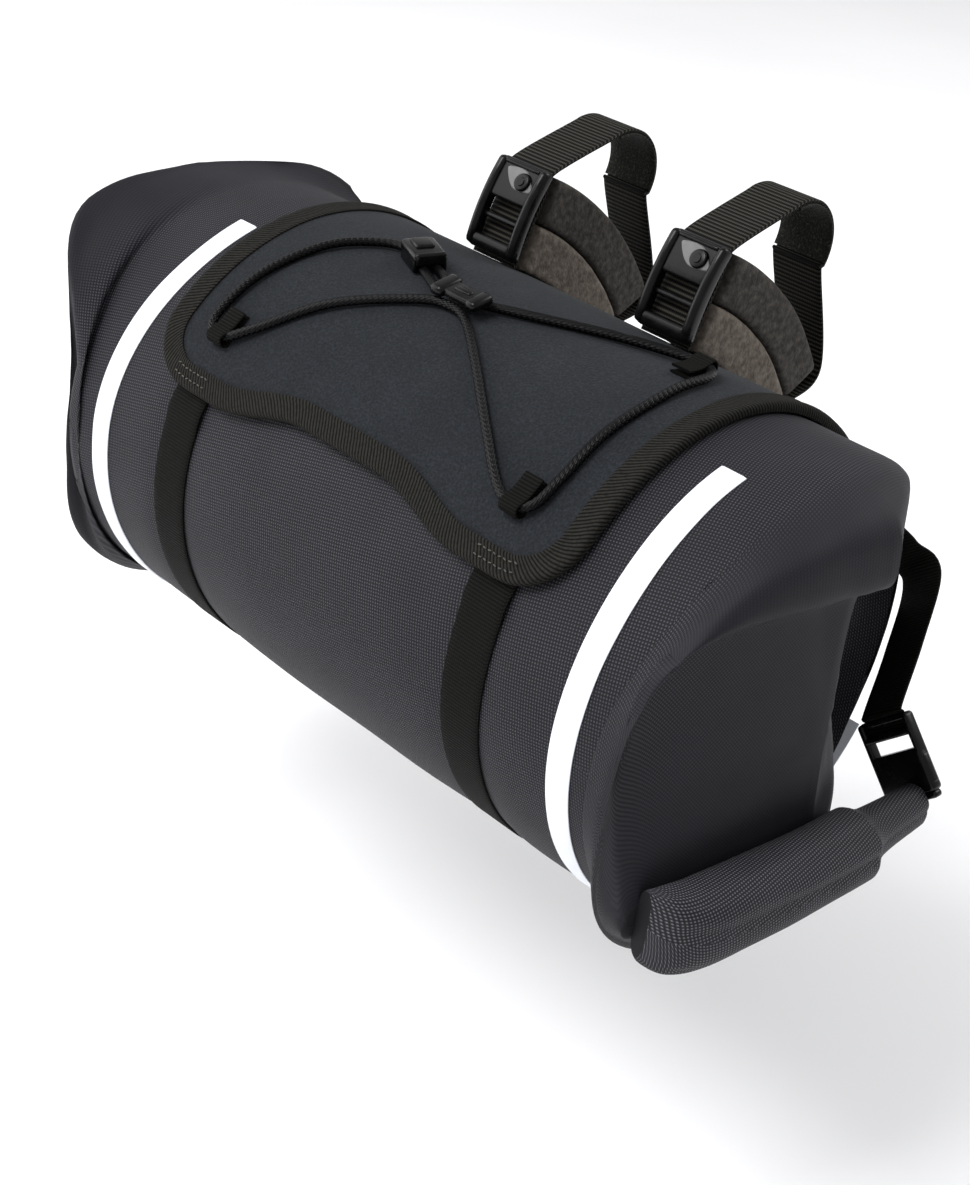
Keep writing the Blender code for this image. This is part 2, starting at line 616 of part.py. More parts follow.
def smooth_route(points, spacing):
    """Evenly spaced points on a Catmull-Rom curve through the route's points."""
    ends = [2 * points[0] - points[1]] + list(points) + [2 * points[-1] - points[-2]]
    fine = []
    for a, b, c, d in zip(ends, ends[1:], ends[2:], ends[3:]):
        for i in range(12):
            t = i / 12
            fine.append(0.5 * (
                2 * b + (c - a) * t + (2 * a - 5 * b + 4 * c - d) * t * t
                + (3 * b - a - 3 * c + d) * t**3
            ))
    fine.append(Vector(points[-1]))
    total = sum((q - p).length for p, q in zip(fine, fine[1:]))
    count = max(round(total / spacing), 2)
    picked, walked, target = [fine[0]], 0.0, total / count
    for p, q in zip(fine, fine[1:]):
        length = (q - p).length
        while walked + length >= target and len(picked) < count:
            picked.append(p + (q - p) * ((target - walked) / length))
            target += total / count
        walked += length
    picked.append(fine[-1])
    return picked


def make_tab(name, x_mm, angle, turn, material, collection):
    """A folded webbing tab sewn on the panel, its fold open from side to side for the cord."""
    frame = panel_frame(x_mm, angle, GAP, (x_mm, angle + turn))
    layer, room = 1.2 * MM, CORD_LIFT + CORD_RADIUS + 0.6 * MM
    hole = 2 * CORD_RADIUS + 2 * CORD_LIFT
    tall = room + hole / 2 + layer
    length = TAB_LENGTH
    outline = (
        (length, 0), (-hole / 2 - layer, 0), (-hole / 2 - layer, tall), (hole / 2 + layer, tall),
        (length, 2 * layer), (length, 1.1 * layer), (hole / 2 + layer, room + hole / 2 - layer * 0.6),
        (hole / 2, room + hole / 2), (-hole / 2, room + hole / 2), (-hole / 2, layer * 0.25),
        (hole / 2, layer * 0.25), (length, layer * 0.7),
    )
    rings = []
    for across in (-TAB_WIDTH / 2, TAB_WIDTH / 2):
        rings.append([frame @ Vector((u, across, v)) for u, v in outline])
    return place_mesh(name, loft(rings), material, collection)


def main():
    clear_scene()
    collection = make_collection("handlebar_bag")
    cutters = make_collection("cutters")
    look = {name: make_material(name) for name in COLOURS}
    make_bag(look["coated_fabric"], collection)
    make_panel(look["felted_panel"], collection)
    make_binding(look["binding_tape"], collection)
    for word, side in SIDES.items():
        make_stripe(word, side, look["reflective"], collection)
        make_strap(word, side, look["webbing"], collection)
        make_foam("foam_lower_" + word, side, FOAM_BASE, look["foam"], collection)
        make_foam("foam_upper_" + word, side, FOAM_BASE + FOAM_THICK, look["foam"], collection)
        make_bar_loop(word, side, look["webbing"], collection)
        make_buckle(word, side, look["buckle_plastic"], collection, cutters)
        make_roll(word, side, look["coated_fabric"], collection)
        make_end_strap(word, side, look["webbing"], look["buckle_plastic"], collection)
    make_cord(look["elastic_cord"], collection)
    make_hook_and_lock(look["buckle_plastic"], collection, cutters)
    for place, x_mm, angle, turn in TABS:
        make_tab("cord_tab_" + place, x_mm, angle, turn, look["webbing"], collection)


main()
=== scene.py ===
import math
import bmesh
import bpy
from mathutils import Matrix, Vector, noise


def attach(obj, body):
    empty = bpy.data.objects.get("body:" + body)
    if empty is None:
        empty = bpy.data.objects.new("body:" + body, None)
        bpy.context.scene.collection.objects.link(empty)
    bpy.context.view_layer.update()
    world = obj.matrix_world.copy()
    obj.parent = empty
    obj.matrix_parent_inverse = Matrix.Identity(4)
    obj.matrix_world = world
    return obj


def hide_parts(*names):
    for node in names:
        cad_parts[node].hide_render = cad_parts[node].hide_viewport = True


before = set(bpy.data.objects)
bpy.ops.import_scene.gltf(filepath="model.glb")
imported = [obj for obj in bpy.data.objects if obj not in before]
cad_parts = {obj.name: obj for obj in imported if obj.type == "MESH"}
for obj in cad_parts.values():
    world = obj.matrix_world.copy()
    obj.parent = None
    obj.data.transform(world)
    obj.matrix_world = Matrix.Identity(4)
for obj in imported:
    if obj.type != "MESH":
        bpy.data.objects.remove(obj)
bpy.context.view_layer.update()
mm = 0.001
sides = {"left": -1, "right": 1}

# The bag's axis, measured from the handlebar's axis, and the layers that lie on the bag
bag = {"radius": 95 * mm, "axisY": -93.64 * mm, "axisZ": -124.27 * mm, "half": 190 * mm, "barrel": 138 * mm}
layers = {"panelLow": 95.8 * mm, "panelTop": 98.8 * mm, "tapeTop": 100.3 * mm}


def onBag(x, angle, radius):
    # 0 degrees faces ahead, 90 up, 180 the rider
    turn = math.radians(angle)
    return Vector((x, bag["axisY"] - radius * math.cos(turn), bag["axisZ"] + radius * math.sin(turn)))


def ease(low, high, value):
    share = min(max((value - low) / (high - low), 0.0), 1.0)
    return share * share * (3 - 2 * share)


def between(a, b, c, d, t):
    # a smooth curve from b to c that also heads for its neighbours a and d
    return 0.5 * (2 * b + (c - a) * t + (2 * a - 5 * b + 4 * c - d) * t * t + (3 * b - a - 3 * c + d) * t ** 3)


def curveThrough(points, step):
    # evenly spaced points on a smooth curve through the route's own points
    pieces = 16  # short straight pieces between two of the route's points
    ends = [2 * points[0] - points[1]] + list(points) + [2 * points[-1] - points[-2]]
    fine = []
    for four in zip(ends, ends[1:], ends[2:], ends[3:]):
        fine += [between(*four, i / pieces) for i in range(pieces)]
    fine.append(points[-1].copy())
    total = sum((q - p).length for p, q in zip(fine, fine[1:]))
    count = max(round(total / step), 2)
    picked, walked, target = [fine[0]], 0.0, total / count
    for p, q in zip(fine, fine[1:]):
        length = (q - p).length
        while length > 0 and walked + length >= target and len(picked) < count:
            picked.append(p.lerp(q, (target - walked) / length))
            target += total / count
        walked += length
    return picked + [fine[-1]]


def alongOf(points):
    run = [0.0]
    for p, q in zip(points, points[1:]):
        run.append(run[-1] + (q - p).length)
    return run


def toLinear(code):
    parts = [int(code[i:i + 2], 16) / 255 for i in (1, 3, 5)]
    return tuple(p / 12.92 if p <= 0.04045 else ((p + 0.055) / 1.055) ** 2.4 for p in parts) + (1.0,)


def addNode(tree, kind, settings=None, links=None, out=0):
    # settings go to the node's inputs, its colour stops or its properties, and one output comes back
    made = tree.nodes.new("ShaderNode" + kind)
    for key, value in (settings or {}).items():
        if key == "stops":
            stops = made.color_ramp.elements
            for place, code in value[1:-1]:
                stops.new(place).color = toLinear(code)
            for stop, (place, code) in ((stops[0], value[0]), (stops[-1], value[-1])):
                stop.position = place
                stop.color = toLinear(code)
        elif isinstance(key, int) or key in made.inputs.keys():
            made.inputs[key].default_value = value
        else:
            setattr(made, key, value)
    for key, source in (links or {}).items():
        tree.links.new(source, made.inputs[key])
    return made.outputs[out]


def startMaterial(name, rough, sheen=0.0, ior=1.5, specular=0.5):
    made = bpy.data.materials.new(name)
    made.use_nodes = True
    tree = made.node_tree
    shader = tree.nodes["Principled BSDF"]
    shader.inputs["Roughness"].default_value = rough
    shader.inputs["IOR"].default_value = ior
    shader.inputs["Specular IOR Level"].default_value = specular
    shader.inputs["Sheen Weight"].default_value = sheen
    shader.inputs["Sheen Roughness"].default_value = 0.5
    return made, tree, shader


def threadRow(tree, spacing, turn, sharp=1.0):
    # one direction of threads on the piece's UV map in metres: 0 between two threads, 1 on top of each
    uv = addNode(tree, "UVMap", {"uv_map": "cloth"})
    laid = {"Rotation": (0, 0, math.radians(turn)), "Scale": (1 / spacing, 1 / spacing, 1)}
    value = addNode(tree, "Mapping", laid, {"Vector": uv})
    value = addNode(tree, "SeparateXYZ", {}, {0: value})
    value = addNode(tree, "Math", {"operation": "MULTIPLY", 1: math.pi}, {0: value})
    value = addNode(tree, "Math", {"operation": "SINE"}, {0: value})
    value = addNode(tree, "Math", {"operation": "ABSOLUTE"}, {0: value})
    return addNode(tree, "Math", {"operation": "POWER", 1: sharp}, {0: value})


def blotches(tree, size, detail=3.0):
    # soft patches of a real size in metres, from 0 to 1
    place = addNode(tree, "TexCoord", out="Object")
    return addNode(tree, "TexNoise", {"Scale": 1 / size, "Detail": detail}, {"Vector": place}, "Fac")


def surface(tree, shader, value, stops, raised=None, patches=None):
    # a value gives the colour, patches may darken it, and raised is a height, its depth in metres and strength
    colour = addNode(tree, "ValToRGB", {"stops": stops}, {"Fac": value})
    if patches:
        shade = addNode(tree, "ValToRGB", {"stops": patches[1]}, {"Fac": patches[0]})
        mixing = {"data_type": "RGBA", "blend_type": "MULTIPLY", 0: 1.0}
        colour = addNode(tree, "Mix", mixing, {6: colour, 7: shade}, 2)
    tree.links.new(colour, shader.inputs["Base Color"])
    if raised:
        height, depth, strength = raised
        bump = addNode(tree, "Bump", {"Strength": strength, "Distance": depth}, {"Height": height})
        tree.links.new(bump, shader.inputs["Normal"])


def coatedPolyester(name, skinWithPaintedEndShade):
    # plain-woven polyester with a matte laminate: dark, with pale thread crowns in slanting rows. The real
    # threads are 0.6 mm apart, drawn at 1.25 mm so that they show
    made, tree, shader = startMaterial(name, 0.62, specular=0.2)
    warp, weft = (threadRow(tree, 1.25 * mm, turn) for turn in (12, 12 - 90))
    crowns = addNode(tree, "Math", {"operation": "MULTIPLY"}, {0: warp, 1: weft})
    stops = ((0.05, "#121115"), (0.4, "#28272c"), (0.75, "#434248"), (1.0, "#77767c"))
    if skinWithPaintedEndShade:
        # on the bag's ends the pale thread crowns fade out, which dims the cloth there: painted shade on the end faces
        # that turn away from the light
        place = addNode(tree, "TexCoord", out="Object")
        x = addNode(tree, "SeparateXYZ", {}, {0: place})
        far = addNode(tree, "Math", {"operation": "ABSOLUTE"}, {0: x})
        fade = {"From Min": 163 * mm, "From Max": 178 * mm, "To Min": 1.0, "To Max": 0.22}
        share = addNode(tree, "MapRange", fade, {"Value": far})
        middle = addNode(tree, "Math", {"operation": "SUBTRACT", 1: 0.42}, {0: crowns})
        faded = addNode(tree, "Math", {"operation": "MULTIPLY"}, {0: middle, 1: share})
        crowns = addNode(tree, "Math", {"operation": "ADD", 1: 0.42}, {0: faded})
        stops = ((0.05, "#0c0b0f"), (0.4, "#1c1b21"), (0.75, "#2e2d34"), (1.0, "#54535a"))
    patches = (blotches(tree, 30 * mm, 4.0), ((0.3, "#e6e6e6"), (0.7, "#ffffff")))
    surface(tree, shader, crowns, stops, (crowns, 0.25 * mm, 0.7), patches)
    return made


def feltedLaminate():
    # needle-punched laminate: short matted fibres give a soft, blotched slate
    made, tree, shader = startMaterial("feltedLaminate", 0.95, sheen=0.03, specular=0.2)
    fine = blotches(tree, 0.9 * mm)
    patches = (blotches(tree, 22 * mm), ((0.3, "#e9eaec"), (0.7, "#ffffff")))
    stops = ((0.3, "#191b1e"), (0.5, "#202327"), (0.72, "#2b2e33"))
    surface(tree, shader, fine, stops, (fine, 0.5 * mm, 0.6), patches)
    return made


def twillTape():
    # twill tape: slanting ribs of twisted yarn, 1.4 mm apart
    made, tree, shader = startMaterial("twillTape", 0.85, specular=0.08)
    ribs = threadRow(tree, 1.4 * mm, 58, 0.8)
    fuzz = addNode(tree, "Math", {"operation": "ADD", 1: 0.5}, {0: blotches(tree, 1.2 * mm)})
    height = addNode(tree, "Math", {"operation": "MULTIPLY"}, {0: ribs, 1: fuzz})
    surface(tree, shader, height, ((0.05, "#070706"), (0.5, "#131312"), (1.0, "#2c2b28")), (height, 0.35 * mm, 0.8))
    return made


def ribbedWebbing(name, spacing, low, mid, high):
    # woven polyester webbing: tight ribs across the band, each a row of packed weft yarn
    made, tree, shader = startMaterial(name, 0.72, specular=0.08)
    yarn, ribs = threadRow(tree, 0.9 * mm, 0, 0.6), threadRow(tree, spacing, -90, 0.9)
    packed = addNode(tree, "Math", {"operation": "MULTIPLY_ADD", 1: 0.35, 2: 0.5}, {0: yarn})
    height = addNode(tree, "Math", {"operation": "MULTIPLY"}, {0: ribs, 1: packed})
    surface(tree, shader, height, ((0.1, low), (0.55, mid), (1.0, high)), (height, 0.4 * mm, 0.8))
    return made


def brushedLoop():
    # brushed loop tape that lines the handlebar straps: a fuzzy, speckled nap
    made, tree, shader = startMaterial("brushedLoopTape", 0.95, sheen=0.08, specular=0.15)
    nap = blotches(tree, 0.9 * mm, 5.0)
    surface(tree, shader, nap, ((0.35, "#0a0a08"), (0.55, "#1a1a16"), (0.75, "#3e3d35")), (nap, 0.6 * mm, 0.9))
    return made


def reflectiveFilm():
    # glass-bead film heat-pressed on the cloth: flat white in plain light, with a trace of the weave below
    made, tree, shader = startMaterial("glassBeadFilm", 0.42)
    warp, weft = (threadRow(tree, 1.6 * mm, turn) for turn in (12, 12 - 90))
    crowns = addNode(tree, "Math", {"operation": "MULTIPLY"}, {0: warp, 1: weft})
    surface(tree, shader, blotches(tree, 18 * mm), ((0.3, "#e4e8ef"), (0.7, "#eef1f7")), (crowns, 0.05 * mm, 0.3))
    return made


def cellFoam(name, low, mid, high):
    # cut closed-cell foam: a dry, blotched skin with fine open cells 1.3 mm across and pale scuffs
    made, tree, shader = startMaterial(name, 0.95, specular=0.2)
    place = addNode(tree, "TexCoord", out="Object")
    cells = addNode(tree, "TexVoronoi", {"Scale": 1 / (1.3 * mm)}, {"Vector": place}, "Distance")
    blotch = blotches(tree, 2.6 * mm, 5.0)
    slanted = {"Scale": (90, 900, 320), "Rotation": (0.5, 0.3, 0.2)}
    drawn = addNode(tree, "Mapping", slanted, {"Vector": place})
    lines = addNode(tree, "TexNoise", {"Scale": 1.0, "Detail": 4.0}, {"Vector": drawn}, "Fac")
    scuffs = addNode(tree, "ValToRGB", {"stops": ((0.62, "#000000"), (0.74, "#5c5c5c"))}, {"Fac": lines})
    colour = addNode(tree, "ValToRGB", {"stops": ((0.3, low), (0.52, mid), (0.75, high))}, {"Fac": blotch})
    mixing = {"data_type": "RGBA", "blend_type": "MIX", 7: toLinear("#6b665f")}
    tree.links.new(addNode(tree, "Mix", mixing, {0: scuffs, 6: colour}, 2), shader.inputs["Base Color"])
    shallow = addNode(tree, "Math", {"operation": "MULTIPLY", 1: 0.4}, {0: cells})
    height = addNode(tree, "Math", {"operation": "ADD"}, {0: shallow, 1: blotch})
    bump = addNode(tree, "Bump", {"Strength": 0.6, "Distance": 0.6 * mm}, {"Height": height})
    tree.links.new(bump, shader.inputs["Normal"])
    return made


def mouldedAcetal(name, code, lighter, rough):
    # injection-moulded acetal: black with a soft gloss and faint flow marks
    made, tree, shader = startMaterial(name, rough, ior=1.48, specular=0.22)
    flow = blotches(tree, 6 * mm, 4.0)
    surface(tree, shader, flow, ((0.35, code), (0.7, lighter)), (blotches(tree, 0.8 * mm, 2.0), 0.03 * mm, 0.35))
    gloss = addNode(tree, "MapRange", {"To Min": rough - 0.06, "To Max": rough + 0.1}, {"Value": flow})
    tree.links.new(gloss, shader.inputs["Roughness"])
    return made


def braidedSheath():
    # braided sheath over rubber: crossing bobbins 1.5 mm apart, their crowns painted a little lighter as a painted
    # sheen
    made, tree, shader = startMaterial("braidedSheath", 0.28, specular=0.14)
    one, two = (threadRow(tree, 1.5 * mm, turn, 0.7) for turn in (40, -40))
    height = addNode(tree, "Math", {"operation": "MULTIPLY"}, {0: one, 1: two})
    surface(tree, shader, height, ((0.1, "#010102"), (0.6, "#050506"), (1.0, "#141417")), (height, 0.25 * mm, 0.8))
    return made


def sewingThread():
    # bonded polyester thread, twisted, slightly paler than the webbing
    made, tree, shader = startMaterial("bondedThread", 0.6)
    surface(tree, shader, blotches(tree, 1.5 * mm), ((0.3, "#2c2c27"), (0.7, "#55544b")))
    return made


def matteFloor():
    # matte paper backdrop, almost even
    made, tree, shader = startMaterial("matteWhiteFloor", 0.9)
    surface(tree, shader, blotches(tree, 400 * mm), ((0.3, "#f6f6f7"), (0.7, "#fbfbfc")))
    return made


finish = {
    "cloth": coatedPolyester("wovenCoatedPolyester", True),
    "rolledCloth": coatedPolyester("wovenPolyesterRolled", False),
    "felt": feltedLaminate(),
    "tape": twillTape(),
    "webbing": ribbedWebbing("ribbedWebbing", 1.4 * mm, "#020202", "#090907", "#1d1c18"),
    "loopWebbing": ribbedWebbing("heavyRibbedWebbing", 2.1 * mm, "#030303", "#121110", "#55534b"),
    "nap": brushedLoop(),
    "film": reflectiveFilm(),
    "foamTop": cellFoam("darkCellFoam", "#2e2c2a", "#413e3b", "#54504c"),
    "foamLow": cellFoam("brownCellFoam", "#554e47", "#6c645c", "#827a71"),
    "plastic": mouldedAcetal("mouldedAcetal", "#040405", "#101011", 0.24),
    # the recess's grey is a painted reflection on the black moulding
    "recess": mouldedAcetal("paintedGlintAcetalRecess", "#6c6c6c", "#787878", 0.35),
    "cord": braidedSheath(),
    "thread": sewingThread(),
    "floor": matteFloor(),
}
print("materials made:", len(finish))


def sweep(rings, caps=True, shared=False):
    # one ring of points is extruded on to the next, and the cloth's UV map is laid in metres
    count = len(rings[0])
    shape = bmesh.new()
    made = bmesh.ops.create_circle(shape, segments=max(count, 3), radius=1)["verts"]
    rows = [made]
    for ring in rings[1:]:
        last = rows[-1]
        edges = [shape.edges.get((last[i - 1], last[i])) for i in range(count)]
        grown = bmesh.ops.extrude_edge_only(shape, edges=edges)["geom"]
        fresh = {v for v in grown if isinstance(v, bmesh.types.BMVert)}
        rows.append([next(e.other_vert(v) for e in v.link_edges if e.other_vert(v) in fresh) for v in last])
    for row, ring in zip(rows, rings):
        for v, place in zip(row, ring):
            v.co = place
    middle = len(rings) // 2
    around = [alongOf(list(ring) + [ring[0]]) for ring in rings]
    along = [alongOf([ring[i] for ring in rings]) for i in range(count)]
    if shared:
        # one length for the whole section, so that ribs keep their slant round corners
        along = [alongOf([sum(ring, Vector()) / count for ring in rings])] * count
    place = {v: (i, j) for j, row in enumerate(rows) for i, v in enumerate(row)}
    layer = shape.loops.layers.uv.new("cloth")
    for face in shape.faces:
        columns = [place[v][0] for v in face.verts]
        wraps = max(columns) - min(columns) > count / 2
        for loop in face.loops:
            i, j = place[loop.vert]
            loop[layer].uv = (around[j][count if wraps and i == 0 else i], along[i][j] - along[i][middle])
    if caps:
        for row in (rows[0], rows[-1]):
            edges = [shape.edges.get((row[i - 1], row[i])) for i in range(count)]
            bmesh.ops.edgeloop_fill(shape, edges=edges)
    bmesh.ops.recalc_face_normals(shape, faces=shape.faces)
    return shape


def pieceOf(name, shape, material, replaced=(), smooth=50):
    mesh = bpy.data.meshes.new(name)
    shape.to_mesh(mesh)
    shape.free()
    mesh.materials.append(material)
    mesh.shade_smooth()
    if smooth < 180:
        mesh.set_sharp_from_angle(angle=math.radians(smooth))
    piece = bpy.data.objects.new(name, mesh)
    bpy.context.scene.collection.objects.link(piece)
    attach(piece, "root")
    if replaced:
        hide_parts(*replaced)
    return piece


def bandRings(path, across, width, thick):
    # sections of a flat band with rounded edges, its underside on the path
    cells, corner = 6, 3  # pieces across one face, and in each rounded edge
    half, edge = width / 2, thick / 2
    lower = [(-half + width * j / cells * 0.999 + edge * (1 - 2 * j / cells), 0.0) for j in range(cells + 1)]
    upper = [(-u, thick) for u, v in lower]
    turns = [math.pi * j / corner for j in range(1, corner)]
    section = lower + [(half - edge + edge * math.sin(t), edge - edge * math.cos(t)) for t in turns]
    section += upper + [(-half + edge - edge * math.sin(t), edge + edge * math.cos(t)) for t in turns]
    rings = []
    for i, point in enumerate(path):
        along = (path[min(i + 1, len(path) - 1)] - path[max(i - 1, 0)]).normalized()
        side = (across[i] - along * across[i].dot(along)).normalized()
        out = along.cross(side).normalized()
        rings.append([point + side * u + out * v for u, v in section])
    return rings


def bandPiece(name, path, across, width, thick, material, replaced=()):
    pieceOf(name, sweep(bandRings(path, across, width, thick)), material, replaced, smooth=60)


def roundedBlock(size, edge, segments=3):
    shape = bmesh.new()
    bmesh.ops.create_cube(shape, size=1, matrix=Matrix.Diagonal((*size, 1)))
    bmesh.ops.bevel(shape, geom=shape.edges[:], offset=edge, segments=segments, profile=0.5, affect="EDGES",
                    material=-1)
    return shape


def blocks(rows):
    # one rounded block for each row of millimetres: three sizes, edge radius, place of its middle
    made = []
    for row in rows:
        shape = roundedBlock([size * mm for size in row[:3]], row[3] * mm)
        shape.transform(Matrix.Translation([place * mm for place in row[4:]]))
        made.append(shape)
    return made


def turnedTo(middle, right, up, out):
    # a place with its own three directions
    return Matrix.Translation(middle) @ Matrix((right, up, out)).transposed().to_4x4()


def joined(name, shapes, material, replaced=(), smooth=40):
    # closed shells that belong to one moulding, kept as one piece
    whole = bmesh.new()
    for shape, place in shapes:
        mesh = bpy.data.meshes.new("part")
        shape.transform(place)
        shape.to_mesh(mesh)
        shape.free()
        whole.from_mesh(mesh)
        bpy.data.meshes.remove(mesh)
    return pieceOf(name, whole, material, replaced, smooth)


# Camera at the photograph's viewing angle: angles in degrees, lens and sensor in millimetres
cameraSet = {
    "place": (494.6 * mm, -622.5 * mm, 240.8 * mm), "azimuth": 42.8, "elevation": 28.7, "roll": 7.9,
    "lens": 59.97, "sensor": 36,
}


def makeCamera():
    turn, tilt, roll = (math.radians(cameraSet[key]) for key in ("azimuth", "elevation", "roll"))
    ahead = Vector((-math.sin(turn) * math.cos(tilt), math.cos(turn) * math.cos(tilt), -math.sin(tilt)))
    level = Vector((math.cos(turn), math.sin(turn), 0))
    upright = level.cross(ahead)
    right = level * math.cos(roll) + upright * math.sin(roll)
    top = upright * math.cos(roll) - level * math.sin(roll)
    camera = bpy.data.objects.new("camera", bpy.data.cameras.new("camera"))
    bpy.context.scene.collection.objects.link(camera)
    camera.matrix_world = turnedTo(cameraSet["place"], right, top, -ahead)
    camera.data.lens = cameraSet["lens"]
    camera.data.sensor_width = cameraSet["sensor"]
    camera.data.clip_start = 0.01
    bpy.context.scene.camera = camera


makeCamera()

# The elastic cord over the panel, with its tabs, hook and lock
cordSet = {
    "radius": 1.9 * mm,
    "lift": 0.4 * mm,
    "step": 2.2 * mm,
    # x in millimetres, angle round the bag, rise above the panel in millimetres
    "route": (
        (-54, 89.0, 0.0), (-44, 86.5, 0.0), (-30, 83.0, 0.0), (-16, 79.5, 0.0), (-4, 79.0, 0.0),
        (16, 83.0, 0.0), (46, 91.0, 0.0), (70, 96.8, 0.3), (84, 98.0, 0.6), (93, 94.0, 0.3),
        (94, 82.0, 0.0), (93, 64.0, 0.0), (93, 50.0, 0.0), (91, 43.0, 0.3), (84, 40.5, 0.6),
        (73, 42.5, 0.3), (54, 51.0, 0.0), (24, 64.5, 0.0), (4, 72.5, 0.0), (-8, 74.5, 0.0),
        (-22, 72.0, 0.0), (-50, 60.0, 0.0), (-72, 45.5, 0.3), (-84, 40.5, 0.6), (-93, 44.0, 0.3),
        (-91, 58.0, 0.0), (-82, 74.0, 0.0), (-68, 84.0, 0.0), (-55, 86.3, 0.0), (-45, 83.6, 0.0),
        (-32, 80.0, 0.0), (-22, 77.4, 0.0),
    ),
    # name, x, angle and the way that its sewn end points round the bag
    "tabs": (("front_left", -84, 40.5, 1), ("front_right", 84, 40.5, 1), ("rear_right", 84, 98.0, -1)),
    "tabWide": 9 * mm,
    "tabThick": 1.0 * mm,
    # x, angle, lift in millimetres, and the place that each is turned to
    "hookAt": (-6, 77, 6.5, (30, 77)),
    "lockAt": (-45, 85.2, 4.3, (-30, 81.6)),
    # plate, knob, bar and ridge
    "hook": (
        (24, 9, 3.4, 1.4, 0, 0, 0), (7, 13, 4.6, 2, -9, 0, .3), (6, 11, 4.2, 1.8, 9.3, 0, 0),
        (9, 3, 2.2, .9, 1, 0, 1.3),
    ),
    # shell, two legs, button and lip
    "lock": (
        (19, 14, 4.2, 1.7, 0, 0, 1.8), (17, 2, 6.4, .8, 0, -6, -.9), (17, 2, 6.4, .8, 0, 6, -.9),
        (9, 8, 2.4, 1, -2, 0, 3.9), (2.4, 12.5, 5.2, 1, 9, 0, 1.9),
    ),
}


def panelFrame(x, angle, lift, toward):
    # its x axis points to the (x, angle) given, its z axis straight out of the panel
    centre = onBag(x * mm, angle, layers["panelTop"] + lift)
    out = (onBag(x * mm, angle, 1.0) - onBag(x * mm, angle, 0.0)).normalized()
    along = onBag(toward[0] * mm, toward[1], layers["panelTop"] + lift) - centre
    across = out.cross(along).normalized()
    return turnedTo(centre, across.cross(out).normalized(), across, out)


def tubeRings(path, radius, count=12):
    rings, side = [], None
    for i, point in enumerate(path):
        along = (path[min(i + 1, len(path) - 1)] - path[max(i - 1, 0)]).normalized()
        side = along.orthogonal() if side is None else side - along * side.dot(along)
        side.normalize()
        other = along.cross(side)
        turns = [math.tau * j / count for j in range(count)]
        rings.append([point + (side * math.cos(turn) + other * math.sin(turn)) * radius for turn in turns])
    return rings


def makeCord():
    reach = layers["panelTop"] + cordSet["lift"] + cordSet["radius"]
    route = [onBag(x * mm, angle, reach + rise * mm) for x, angle, rise in cordSet["route"]]
    path = curveThrough(route, cordSet["step"])
    cord = pieceOf("shockCord", sweep(tubeRings(path, cordSet["radius"])), finish["cord"],
                   ("shock_cord",), smooth=70)
    for name, key, node in (("centreHook", "hook", "centre_hook"), ("cordLock", "lock", "cord_lock")):
        x, angle, lift, toward = cordSet[key + "At"]
        place = panelFrame(x, angle, lift * mm, toward)
        shapes = [(shape, place) for shape in blocks(cordSet[key])]
        joined(name, shapes, finish["plastic"], (node,))


def makeTabs():
    # a short band folded round the cord and sewn to the panel with both its ends
    reach = cordSet["lift"] + cordSet["radius"] + 0.6 * mm
    around = cordSet["radius"] + 0.45 * mm
    for word, x, angle, turn in cordSet["tabs"]:
        place = panelFrame(x, angle, 0, (x, angle + turn))
        # (along, up) from the lower sewn end, round the cord and back on top of itself
        turns = [math.pi * i / 8 for i in range(9)]
        bends = [(13 * mm, 0.35 * mm), (7 * mm, 0.35 * mm), (2.6 * mm, 0.4 * mm)]
        bends += [(-around * math.sin(t), reach - around * math.cos(t)) for t in turns]
        bends += [(4.6 * mm, reach + 0.1 * mm), (8.5 * mm, 2.2 * mm), (13 * mm, 1.75 * mm)]
        path = curveThrough([place @ Vector((along, 0, up)) for along, up in bends], 0.9 * mm)
        side = (place.to_3x3() @ Vector((0, 1, 0))).normalized()
        bandPiece("cordTab_" + word, path, [side] * len(path), cordSet["tabWide"], cordSet["tabThick"],
                  finish["webbing"], ("cord_tab_" + word,))


makeCord()
makeTabs()
print("cord, hook, lock and tabs made")

